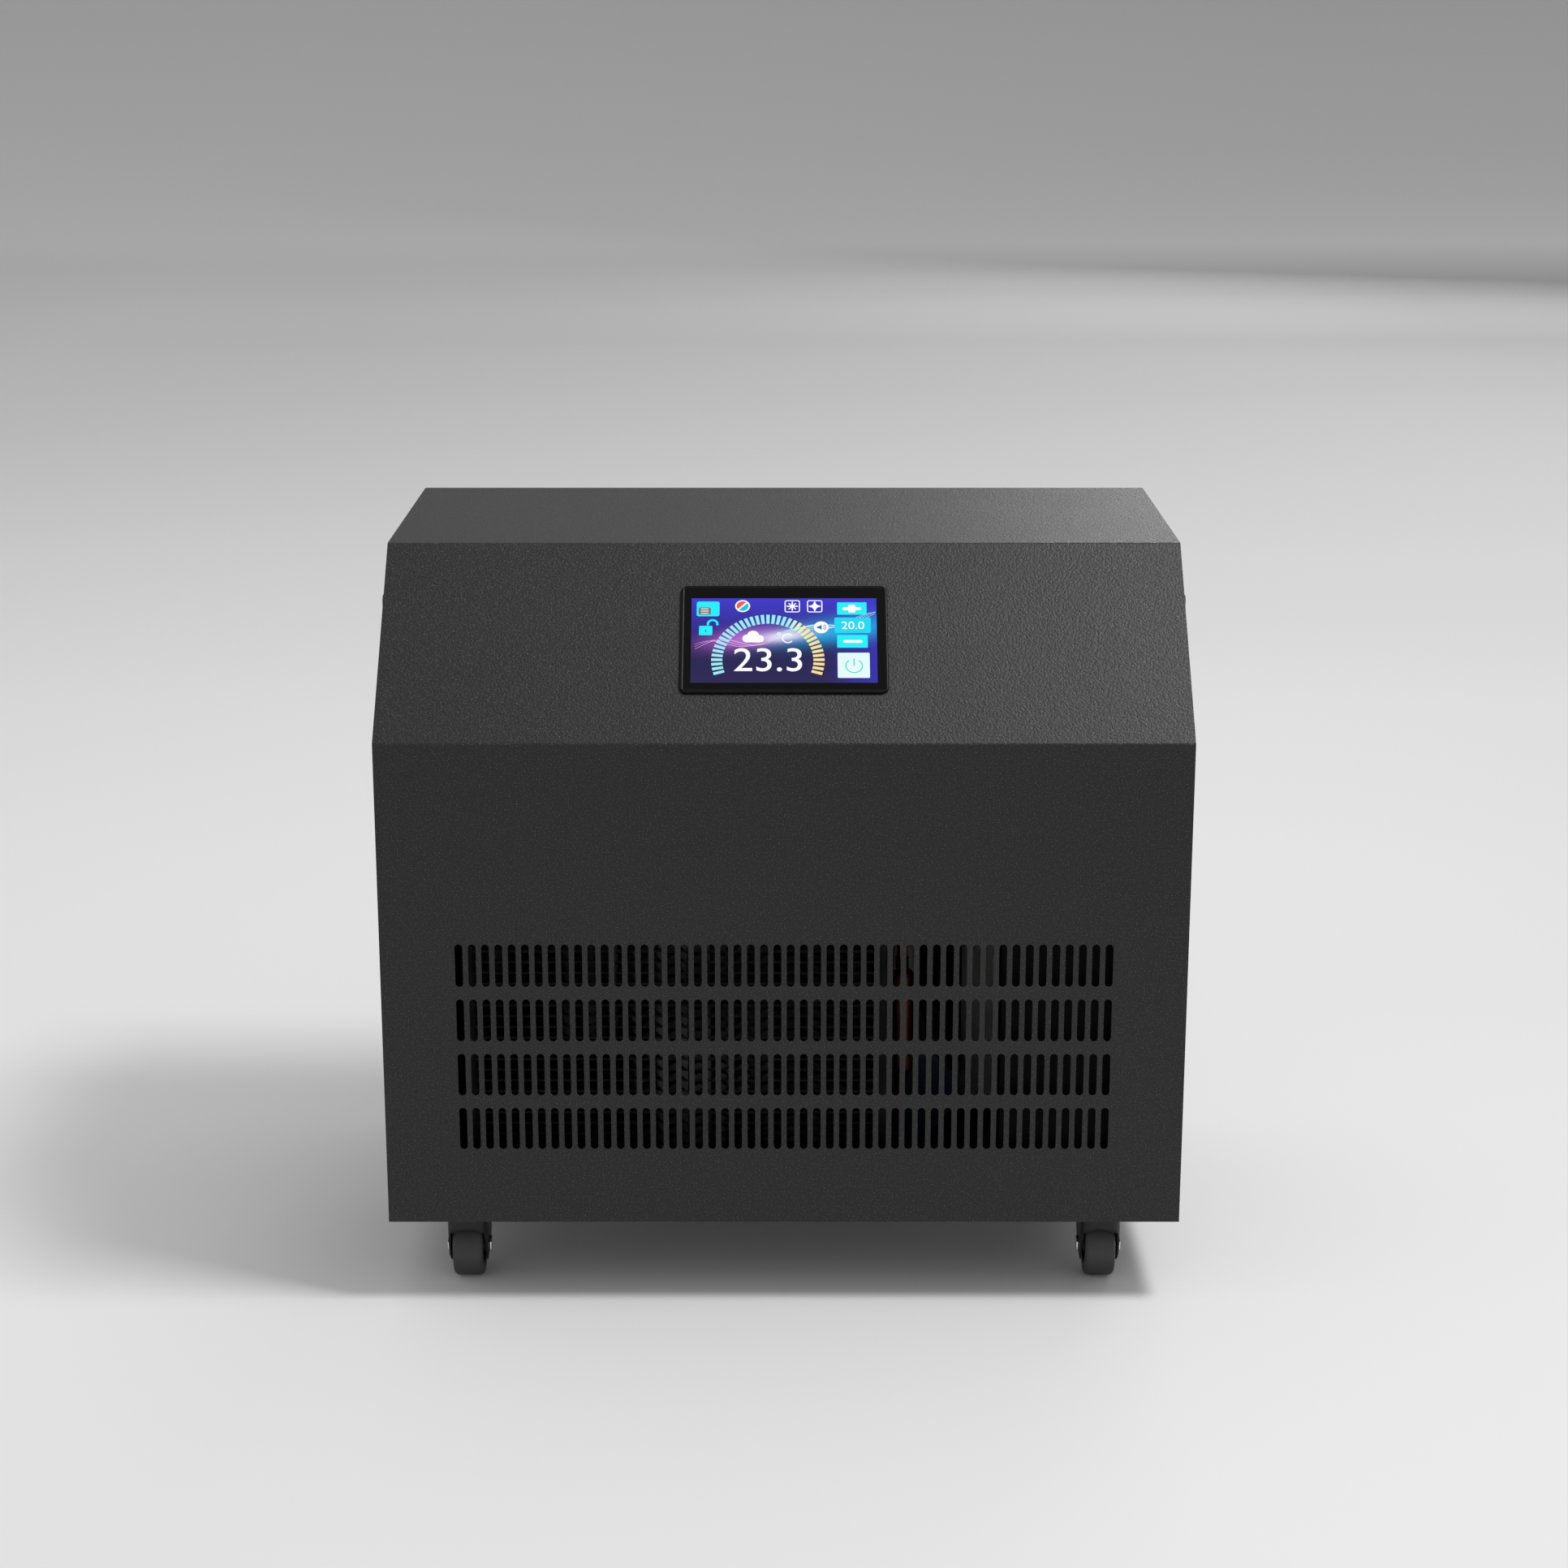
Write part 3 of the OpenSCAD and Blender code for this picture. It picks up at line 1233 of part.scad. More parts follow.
module power_inlet() {
    y0 = rear_face_y;
    socket_y = y0 + inlet_t - socket_depth;
    color("#18191b") translate([inlet_x, 0, inlet_z]) {
        difference() {
            union() {
                along_y(y0, y0 + inlet_t) soft_rect(inlet_w, inlet_h, 2 * socket_wall);
                along_y(socket_y - socket_wall, y0 + inlet_t / 2)
                    square([socket_outer_w, socket_outer_h], center = true);
            }
            along_y(socket_y, y0 + inlet_t + over) square([socket_w, socket_h], center = true);
        }
        for (s = [-1, 0, 1]) translate([s * pin_spread, 0, (s == 0 ? 1 : 0) * pin_h / 2])
            along_y(socket_y - socket_wall / 2, socket_y + pin_l) square([pin_w, pin_h], center = true);
    }
}

// The four casters: centre of each swivel axis
caster_places = [
    [-caster_x, caster_front_y, 0], [caster_x, caster_front_y, 0],
    [-caster_x, caster_rear_y, 0], [caster_x, caster_rear_y, 0]];
module caster_bolt_places() {
    for (p = caster_places, s = [-1, 1], t = [-1, 1])
        translate([p.x + s * bolt_spread / 2, p.y + t * bolt_spread / 2, pan_z]) children();
}
module caster_plates() {
    color("#4a4c4f") for (p = caster_places) translate(p) difference() {
        union() {
            along_z(plate_z, pan_z) soft_rect(plate_w, plate_w, plate_r);
            cylinder_between(race_d / 2, plate_z - race_t, plate_z + plate_t / 2);
            cylinder_between(kingpin_d / 2, crown_z - move_gap - kingpin_head_t / 2, plate_z);
            cylinder_between(kingpin_head_d / 2, crown_z - move_gap - kingpin_head_t, crown_z - move_gap);
        }
        for (s = [-1, 1], t = [-1, 1]) translate([s * bolt_spread / 2, t * bolt_spread / 2, pan_z])
            cylinder(d = bolt_d + 2 * bolt_gap, h = 3 * plate_t, center = true);
    }
}
module cylinder_between(r, z0, z1) {
    translate([0, 0, z0]) cylinder(r = r, h = z1 - z0);
}
module caster_bolts() {
    color("#9c9fa3") caster_bolt_places() {
        cylinder_between(bolt_head_d / 2, -plate_t - bolt_head_t, -plate_t);
        cylinder_between(bolt_d / 2, -plate_t - bolt_head_t / 2, sheet_t + bolt_nut_t + bolt_head_t / 2);
        translate([0, 0, sheet_t]) cylinder(d = bolt_head_d, h = bolt_nut_t, $fn = 6);
    }
}

// Fork in its own frame: the swivel axis is Z, the wheel trails towards -Y
module caster_fork(place) {
    axle_z = wheel_r;
    color("#1c1c1d") translate(place) difference() {
        intersection() {
            union() {
                along_x(-fork_w / 2, fork_w / 2) polygon([
                    [-hood_front, fork_top], [-hood_front, arch_top - fork_clear],
                    [-trail - boss_r, axle_z], [-trail, axle_z - boss_r / 2], [-trail + boss_r, axle_z],
                    [fork_back, crown_z], [fork_back, fork_top]]);
                rod_x(boss_r, -fork_w / 2, fork_w / 2, -trail, axle_z);
            }
            translate([0, (fork_back - hood_front) / 2, 0])
                along_z(0, fork_top) soft_rect(fork_w, fork_back + hood_front, fork_r);
        }
        rod_x(cavity_r, -fork_slot / 2, fork_slot / 2, -trail, axle_z);
        block([-fork_slot / 2, -hood_front - over, 0], [fork_slot / 2, cavity_r - trail, axle_z]);
        along_y(-hood_front - over, -trail) arch_shape();
        cylinder_between(kingpin_head_d / 2 + fork_clear, axle_z, crown_z);
        cylinder_between(kingpin_d / 2 + run_gap, 0, fork_top + over);
        rod_x(axle_d / 2 + run_gap, -fork_w, fork_w, -trail, axle_z);
        for (s = [0, 1]) mirror([s, 0, 0]) along_y(-hood_front - over, fork_back + over) polygon([
            [fork_w / 2, leg_taper_z], [fork_w / 2 + over, leg_taper_z],
            [fork_w / 2 + over, 0], [fork_w / 2 - 2 * leg_taper, 0]]);
    }
}
// Round-headed mouth of the hood, seen from the front
module arch_shape() {
    r = (fork_slot + wheel_gap) / 2;
    polygon(concat([[r, 0]], arc([0, wheel_d - mouth_drop - r], r, 0, 180), [[-r, 0]]));
}
module caster_axle(place) {
    l = fork_w / 2 + run_gap;
    color("#c8cacc") translate(place) {
        rod_x(axle_d / 2, -l - nut_t / 2, l + nut_t / 2, -trail, wheel_r);
        rod_x(nut_af / 2 / cos(30), l, l + nut_t, -trail, wheel_r, $fn = 6);
        rod_x(nut_af / 2 / cos(30), -l - nut_t, -l, -trail, wheel_r, $fn = 6);
    }
}
module wheel_place(place) {
    translate(place) translate([0, -trail, wheel_r]) rotate([0, 90, 0]) children();
}
module caster_hub(place) {
    w = wheel_w / 2 - panel_gap;
    color("#2a2b2d") wheel_place(place) difference() {
        union() {
            translate([0, 0, -w]) difference() {
                cylinder(r = hub_r - run_gap, h = 2 * w);
                translate([0, 0, -over]) cylinder(r = hub_r - hub_rim, h = 2 * w + 2 * over);
            }
            cylinder(r = hub_r - hub_rim / 2, h = hub_web, center = true);
            cylinder(r = hub_boss_r, h = fork_slot - 2 * move_gap, center = true);
        }
        cylinder(r = axle_d / 2 + run_gap, h = 2 * fork_slot, center = true);
    }
}
module caster_tyre(place) {
    w = wheel_w / 2;
    color("#232324") wheel_place(place) rotate_extrude($fn = fine) polygon(concat(
        [[hub_r, -w + panel_gap]],
        arc([wheel_r - tread_r, -w + tread_r], tread_r, -90, 0),
        arc([wheel_r - tread_r, w - tread_r], tread_r, 0, 90),
        [[hub_r, w - panel_gap]]));
}
module front_left_fork() { caster_fork(caster_places[0]); }
module front_left_axle() { caster_axle(caster_places[0]); }
module front_left_hub() { caster_hub(caster_places[0]); }
module front_left_tyre() { caster_tyre(caster_places[0]); }
module front_right_fork() { caster_fork(caster_places[1]); }
module front_right_axle() { caster_axle(caster_places[1]); }
module front_right_hub() { caster_hub(caster_places[1]); }
module front_right_tyre() { caster_tyre(caster_places[1]); }
module rear_left_fork() { caster_fork(caster_places[2]); }
module rear_left_axle() { caster_axle(caster_places[2]); }
module rear_left_hub() { caster_hub(caster_places[2]); }
module rear_left_tyre() { caster_tyre(caster_places[2]); }
module rear_right_fork() { caster_fork(caster_places[3]); }
module rear_right_axle() { caster_axle(caster_places[3]); }
module rear_right_hub() { caster_hub(caster_places[3]); }
module rear_right_tyre() { caster_tyre(caster_places[3]); }

base_pan();
front_cover();
left_side_panel();
right_side_panel();
rear_panel();
left_handle();
right_handle();
panel_screws();
display_bezel();
display_glass();
display_board();
condenser_tubes();
condenser_fins();
fan_guard();
fan_motor();
fan_blade();
compressor_shell();
compressor_stator();
compressor_rotor();
compressor_block();
compressor_accumulator();
compressor_feet();
heat_exchanger_shell();
heat_exchanger_coil();
filter_drier();
expansion_valve();
discharge_pipe();
liquid_pipe();
suction_pipe();
pump_housing();
pump_impeller();
pump_motor();
inlet_hose();
pump_hose();
outlet_hose();
water_fittings();
drain_fitting();
drain_cap();
control_box();
control_box_lid();
control_board();
power_inlet();
caster_plates();
caster_bolts();
front_left_fork();
front_left_axle();
front_left_hub();
front_left_tyre();
front_right_fork();
front_right_axle();
front_right_hub();
front_right_tyre();
rear_left_fork();
rear_left_axle();
rear_left_hub();
rear_left_tyre();
rear_right_fork();
rear_right_axle();
rear_right_hub();
rear_right_tyre();
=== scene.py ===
"""Looks of the water chiller: cabinet, lit display, fan, casters and the plumbing inside.

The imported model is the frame, and the pieces made here sit on it. Sizes are in millimetres in the
classes and turned into metres where a mesh is made. +X is the part's right, -Y its slotted front and
+Z up, with the floor at zero.
"""

import logging
import math
from dataclasses import dataclass
from enum import Enum
from typing import Iterable, Sequence

import bmesh
import bpy
import numpy as np
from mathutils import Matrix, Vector


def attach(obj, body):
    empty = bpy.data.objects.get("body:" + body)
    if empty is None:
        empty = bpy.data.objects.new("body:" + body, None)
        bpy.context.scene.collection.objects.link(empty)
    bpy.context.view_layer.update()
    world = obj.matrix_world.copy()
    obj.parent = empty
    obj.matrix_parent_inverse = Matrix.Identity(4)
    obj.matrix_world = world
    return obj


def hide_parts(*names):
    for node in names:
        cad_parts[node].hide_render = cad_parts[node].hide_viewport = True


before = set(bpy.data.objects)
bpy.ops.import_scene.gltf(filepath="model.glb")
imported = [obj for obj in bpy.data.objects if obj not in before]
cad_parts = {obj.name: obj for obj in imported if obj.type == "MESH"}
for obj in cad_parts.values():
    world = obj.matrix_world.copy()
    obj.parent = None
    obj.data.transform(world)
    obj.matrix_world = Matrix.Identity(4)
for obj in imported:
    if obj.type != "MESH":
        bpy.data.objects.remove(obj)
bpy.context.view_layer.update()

log = logging.getLogger("chiller")
MM = 0.001
MERGE = 1e-6  # metres within which two points of a mesh are one
ROOT = "cabinet"
Array = np.ndarray
Color = tuple[float, float, float]


def srgb(red: float, green: float, blue: float) -> Color:
    """Linear colour of an sRGB one given from 0 to 255."""
    share = np.array((red, green, blue)) / 255
    low = share / 12.92
    high = ((share + 0.055) / 1.055) ** 2.4
    return tuple(float(v) for v in np.where(share <= 0.04045, low, high))


# ---------------------------------------------------------------- surfaces


class Ends(Enum):
    """How a stack of loops is finished: with a cap at each end, or joined into a ring."""

    CAPPED = "capped"
    RING = "ring"


class Axis(Enum):
    """Direction that a turned piece's own Z runs along."""

    X = ((0, 0, 1), (1, 0, 0), (0, 1, 0))
    Y = ((1, 0, 0), (0, 0, 1), (0, -1, 0))

    @property
    def turn(self) -> Array:
        """Matrix that takes the piece's own axes to the part's."""
        return np.array(self.value, float)


@dataclass
class Surface:
    """Points and faces of one or more shells.

    Attributes:
        points: An (n, 3) array in millimetres.
        faces: Arrays of corner indices, each (m, k), one for each number of corners.
    """

    points: Array
    faces: list[Array]

    def placed(self, turn: Array | None = None, shift: Sequence[float] = (0, 0, 0)) -> "Surface":
        """The surface turned by a 3 by 3 matrix and then shifted."""
        turned = self.points if turn is None else self.points @ turn.T
        return Surface(turned + np.asarray(shift, float), self.faces)


def joined(parts: Iterable[Surface]) -> Surface:
    """Several surfaces as one, their indices moved on by the points before them."""
    parts = list(parts)
    starts = np.cumsum([0] + [len(p.points) for p in parts])
    faces = [f + start for part, start in zip(parts, starts) for f in part.faces]
    return Surface(np.concatenate([p.points for p in parts]), faces)


def grid_faces(rows: int, cols: int, wrap_rows: bool = False, wrap_cols: bool = False) -> Array:
    """Quads between the neighbours of a grid of points, row by row.

    Args:
        rows: Rows of points.
        cols: Points in a row.
        wrap_rows: Whether the last row joins the first.
        wrap_cols: Whether a row's last point joins its first.

    Returns:
        An (m, 4) array of indices.
    """
    i = np.arange(rows if wrap_rows else rows - 1)[:, None]
    j = np.arange(cols if wrap_cols else cols - 1)[None, :]
    up, on = (i + 1) % rows, (j + 1) % cols
    return np.stack([i * cols + j, i * cols + on, up * cols + on, up * cols + j], -1).reshape(-1, 4)


def loft(loops: Array, ends: Ends = Ends.CAPPED) -> Surface:
    """A skin over closed loops that have as many points each.

    Args:
        loops: An (m, n, 3) array of loops.
        ends: How the first and the last loop are finished.

    Returns:
        The skin, with a flat face on each capped end.
    """
    rows, cols = loops.shape[:2]
    faces = [grid_faces(rows, cols, ends is Ends.RING, True)]
    if ends is Ends.CAPPED:
        faces += [np.arange(cols)[None, ::-1], (rows - 1) * cols + np.arange(cols)[None, :]]
    return Surface(loops.reshape(-1, 3), faces)


def softened(points: Array, radius: float | Array, steps: int = 5, closed: bool = True) -> Array:
    """A line of corners with each corner rounded by an arc of the radius.

    With u and w the unit vectors from a corner to its neighbours and h half the angle between them, the
    arc starts r / tan h along u, its centre is r / sin h along u + w, and its points are the spherical
    blend of the two radii. A radius too large for its corner is cut to what the shorter side holds.

    Args:
        points: An (n, 2) or (n, 3) array of corners.
        radius: Radius of every corner, or one for each.
        steps: Segments of an arc.
        closed: Whether the last corner joins the first; an open line keeps its ends.

    Returns:
        The points of the rounded line.
    """
    p = np.asarray(points, float)
    corner = p if closed else p[1:-1]
    before = np.roll(p, 1, 0) if closed else p[:-2]
    after = np.roll(p, -1, 0) if closed else p[2:]
    u, w = before - corner, after - corner
    u_len, w_len = np.linalg.norm(u, axis=1), np.linalg.norm(w, axis=1)
    u, w = u / u_len[:, None], w / w_len[:, None]
    half = np.arccos(np.clip((u * w).sum(1), -1, 1)) / 2
    half = np.clip(half, 1e-3, np.pi / 2 - 1e-5)
    size = np.broadcast_to(np.asarray(radius, float), half.shape)
    reach = np.minimum(size / np.tan(half), 0.499 * np.minimum(u_len, w_len))
    r = reach * np.tan(half)
    middle = u + w
    middle = middle / np.maximum(np.linalg.norm(middle, axis=1), 1e-12)[:, None]
    centre = corner + middle * (r / np.sin(half))[:, None]
    first, last = corner + u * reach[:, None] - centre, corner + w * reach[:, None] - centre
    sweep = (np.pi - 2 * half)[:, None, None]
    s = np.linspace(0, 1, steps + 1)[None, :, None]
    arcs = (np.sin((1 - s) * sweep) * first[:, None] + np.sin(s * sweep) * last[:, None]) / np.sin(sweep)
    line = (centre[:, None] + arcs).reshape(-1, p.shape[1])
    return line if closed else np.concatenate([p[:1], line, p[-1:]])


def rectangle(width: float, height: float, radius: float, steps: int = 5) -> Array:
    """Outline of a rectangle about zero with rounded corners."""
    x, y = width / 2, height / 2
    return softened(np.array([(x, -y), (x, y), (-x, y), (-x, -y)]), radius, steps)


def circle(radius: float, count: int) -> Array:
    """Outline of a circle."""
    a = 2 * np.pi * (np.arange(count) + 0.5) / count
    return radius * np.stack([np.cos(a), np.sin(a)], 1)


def raised(outline: Array, height: float) -> Array:
    """A flat outline as points at one height."""
    return np.concatenate([outline, np.full((len(outline), 1), height)], 1)


def plate(outline: Array, low: float, high: float) -> Surface:
    """A flat plate between two heights."""
    return loft(np.stack([raised(outline, low), raised(outline, high)]))


def lathe(profile: Array, segments: int) -> Surface:
    """A closed profile of radius and height turned about the Z axis.

    A point at radius r and height h goes to (r cos t, r sin t, h) for each angle t.

    Args:
        profile: An (n, 2) array of radius and height.
        segments: Steps round the axis.

    Returns:
        The turned surface.
    """
    t = 2 * np.pi * np.arange(segments) / segments
    r, h = profile[:, :1], profile[:, 1:]
    points = np.stack([r * np.cos(t), r * np.sin(t), h + 0 * t], -1)
    return Surface(points.reshape(-1, 3), [grid_faces(len(profile), segments, True, True)])


def copies(surface: Surface, turns: Array, shifts: Array) -> Surface:
    """A surface repeated, each copy turned by its matrix and shifted.

    Args:
        surface: What is repeated.
        turns: A (c, 3, 3) array of matrices.
        shifts: A (c, 3) array of places.

    Returns:
        All the copies as one surface.
    """
    count, size = len(shifts), len(surface.points)
    points = np.einsum("cij,pj->cpi", turns, surface.points) + shifts[:, None]
    steps = (np.arange(count) * size)[:, None, None]
    return Surface(points.reshape(-1, 3), [(f[None] + steps).reshape(-1, f.shape[1]) for f in surface.faces])


def turns_about_z(angles: Array) -> Array:
    """Matrices that turn by each angle about the Z axis, by the right-hand rule."""
    c, s, zero, one = np.cos(angles), np.sin(angles), np.zeros_like(angles), np.ones_like(angles)
    return np.moveaxis(np.array(((c, -s, zero), (s, c, zero), (zero, zero, one))), -1, 0)


# ---------------------------------------------------------------- finishes


class Graph:
    """The node tree of a material, with its shader ready to fill in."""

    def __init__(self, name: str) -> None:
        """Makes an empty material with a Principled shader.

        Args:
            name: Name of the material.
        """
        self.material = bpy.data.materials.new(name)
        self.material.use_nodes = True
        self.nodes = self.material.node_tree.nodes
        self.links = self.material.node_tree.links
        self.nodes.clear()
        self.output = self.nodes.new("ShaderNodeOutputMaterial")
        self.shader = self.nodes.new("ShaderNodeBsdfPrincipled")
        self.links.new(self.shader.outputs[0], self.output.inputs[0])
        self._coordinates: bpy.types.NodeSocket | None = None

    def coordinates(self) -> bpy.types.NodeSocket:
        """Object coordinates, in metres in the part's frame."""
        if self._coordinates is None:
            self._coordinates = self.nodes.new("ShaderNodeTexCoord").outputs["Object"]
        return self._coordinates

    def plug(self, socket: bpy.types.NodeSocket, value: object) -> None:
        """Links an output to a socket, or sets the socket to a plain value."""
        if isinstance(value, bpy.types.NodeSocket):
            self.links.new(value, socket)
        elif value is not None:
            socket.default_value = value

    def set(self, values: dict[str, object]) -> None:
        """Sets or links the shader's sockets by name."""
        for name, value in values.items():
            self.plug(self.shader.inputs[name], value)

    def math(self, kind: str, a: object, b: object = None, c: object = None) -> bpy.types.NodeSocket:
        """A Math node of that kind on up to three values."""
        node = self.nodes.new("ShaderNodeMath")
        node.operation = kind
        for socket, value in zip(node.inputs, (a, b, c)):
            self.plug(socket, value)
        return node.outputs[0]

    def along(self, direction: Sequence[float], start: float = 0.0) -> bpy.types.NodeSocket:
        """Distance of a point along a direction, less a start, in metres."""
        node = self.nodes.new("ShaderNodeVectorMath")
        node.operation = "DOT_PRODUCT"
        self.plug(node.inputs[0], self.coordinates())
        node.inputs[1].default_value = direction
        return self.math("SUBTRACT", node.outputs["Value"], start)

    def between(self, value: object, low: float, high: float, to_low: float,
                to_high: float) -> bpy.types.NodeSocket:
        """A value carried from one range to another, held at its ends."""
        node = self.nodes.new("ShaderNodeMapRange")
        for socket, v in zip(node.inputs, (value, low, high, to_low, to_high)):
            self.plug(socket, v)
        return node.outputs[0]

    def ramp(self, value: object, stops: Sequence[tuple[float, Color]]) -> bpy.types.NodeSocket:
        """A colour ramp on a value from 0 to 1."""
        node = self.nodes.new("ShaderNodeValToRGB")
        self.plug(node.inputs[0], value)
        elements = node.color_ramp.elements
        for _ in range(len(stops) - 2):
            elements.new(0.5)
        places, colors = zip(*stops)
        for element, place in zip(elements, places):
            element.position = place
        for element, color in zip(elements, colors):
            element.color = (*color, 1)
        return node.outputs[0]

    def mix(self, share: object, a: object, b: object, kind: str = "MIX") -> bpy.types.NodeSocket:
        """Two colours mixed by a share."""
        node = self.nodes.new("ShaderNodeMix")
        node.data_type = "RGBA"
        node.blend_type = kind
        sockets = [s for s in node.inputs if s.enabled]
        for socket, value in zip(sockets, (share, a, b)):
            self.plug(socket, (*value, 1) if isinstance(value, tuple) and len(value) == 3 else value)
        return next(s for s in node.outputs if s.enabled)

    def texture(self, pattern: "Pattern") -> bpy.types.NodeSocket:
        """A pattern's height from 0 to 1, on Object coordinates."""
        mapping = self.nodes.new("ShaderNodeMapping")
        mapping.inputs["Scale"].default_value = pattern.stretch
        self.plug(mapping.inputs[0], self.coordinates())
        node = self.nodes.new("ShaderNodeTexNoise")
        node.inputs["Scale"].default_value = pattern.scale
        node.inputs["Detail"].default_value = pattern.detail
        node.inputs["Roughness"].default_value = 0.5
        self.plug(node.inputs["Vector"], mapping.outputs[0])
        return node.outputs[0]


class Look:
    """What a material is made from: its name, the record's slot and a way to fill its shader."""

    name: str
    slot: str

    def fill(self, g: Graph) -> None:
        """Sets the shader's sockets."""
        raise NotImplementedError

    def material(self) -> bpy.types.Material:
        """The material of this name, made at its first use."""
        found = bpy.data.materials.get(self.name)
        if found:
            return found
        g = Graph(self.name)
        self.fill(g)
        return g.material


@dataclass(frozen=True)
class Pattern:
    """One pattern of soft noise in a finish.

    Attributes:
        scale: Features in a metre.
        depth: Height of its relief in metres; none where it is zero.
        tint: Share that it darkens and lightens the colour by.
        rough: What it adds to the roughness and takes from it.
        stretch: Stretch of the pattern along each axis.
        detail: Octaves of the noise.
        painted_glint: How much the highest points of its noise add to the colour as fine bright dots: painted
            glints of light on a textured coat.
    """

    scale: float
    depth: float = 0.0
    tint: float = 0.0
    rough: float = 0.0
    stretch: tuple[float, float, float] = (1.0, 1.0, 1.0)
    detail: float = 2.0
    painted_glint: float = 0.0


@dataclass(frozen=True)
class Finish(Look):
    """A painted, moulded or metal finish.

    Attributes:
        name: Name of its material.
        slot: The record's slot that it belongs to; not used by this script.
        color: Linear base colour.
        rough: Mean roughness.
        metal: Share of metal.
        coat: Weight of the clear coat.
        specular: Specular level.
        patterns: Patterns that vary its colour, roughness and relief.
    """

    name: str
    slot: str
    color: Color
    rough: float
    metal: float = 0.0
    coat: float = 0.0
    specular: float = 0.5
    patterns: tuple[Pattern, ...] = ()

    def fill(self, g: Graph) -> None:
        """Sets the shader's sockets, with colour, roughness and relief that follow the patterns."""
        swing, glint_range = (0.3, 0.7), (0.57, 0.72)
        g.set({"Metallic": self.metal, "Coat Weight": self.coat, "Specular IOR Level": self.specular})
        color: object = (*self.color, 1)
        rough: object = self.rough
        normal = None
        for pattern in self.patterns:
            height = g.texture(pattern)
            if pattern.tint:
                shade = g.between(height, *swing, max(1 - pattern.tint, 0.0), 1 + pattern.tint)
                color = g.mix(1.0, color, shade, "MULTIPLY")
            # Painted glints: the noise's highest points brighten the colour like dots of light caught by the
            # coat.
            if pattern.painted_glint:
                shade = g.between(height, *glint_range, 1.0, 1 + pattern.painted_glint)
                color = g.mix(1.0, color, shade, "MULTIPLY")
            if pattern.rough:
                rough = g.math("ADD", rough, g.between(height, *swing, -pattern.rough, pattern.rough))
            if pattern.depth:
                bump = g.nodes.new("ShaderNodeBump")
                bump.inputs["Strength"].default_value = 1.0
                bump.inputs["Distance"].default_value = pattern.depth
                g.plug(bump.inputs["Height"], height)
                g.plug(bump.inputs["Normal"], normal)
                normal = bump.outputs[0]
        g.set({"Base Color": color, "Roughness": rough, "Normal": normal})


@dataclass(frozen=True)
class Lit(Look):
    """A lit colour of the display.

    Attributes:
        name: Name of its material.
        color: Linear colour that it glows in.
        slot: The record's slot that it belongs to; not used by this script.
    """

    name: str
    color: Color
    slot: str = "screen"

    def fill(self, g: Graph) -> None:
        """Sets the shader's sockets."""
        g.set({"Base Color": (0.002, 0.002, 0.002, 1), "Roughness": 0.25, "Specular IOR Level": 0.12,
               "Emission Strength": 1.0, "Emission Color": (*self.color, 1)})


@dataclass(frozen=True)
class LitScale(Lit):
    """The gauge's colours: they run from cold to warm across the part's width.

    Attributes:
        start: Where the cold end lies across the part, in metres.
        stop: Where the warm end lies.
    """

    start: float = -0.060
    stop: float = 0.034

    def fill(self, g: Graph) -> None:
        """Sets the shader's sockets, with the glow from a ramp on X."""
        super().fill(g)
        across = g.between(g.along((1, 0, 0)), self.start, self.stop, 0, 1)
        stops = (
            (0.0, srgb(160, 232, 246)), (0.66, srgb(150, 236, 246)), (0.76, srgb(228, 246, 196)),
            (0.84, srgb(248, 234, 150)), (1.0, srgb(250, 214, 165)))
        g.set({"Emission Color": g.ramp(across, stops)})


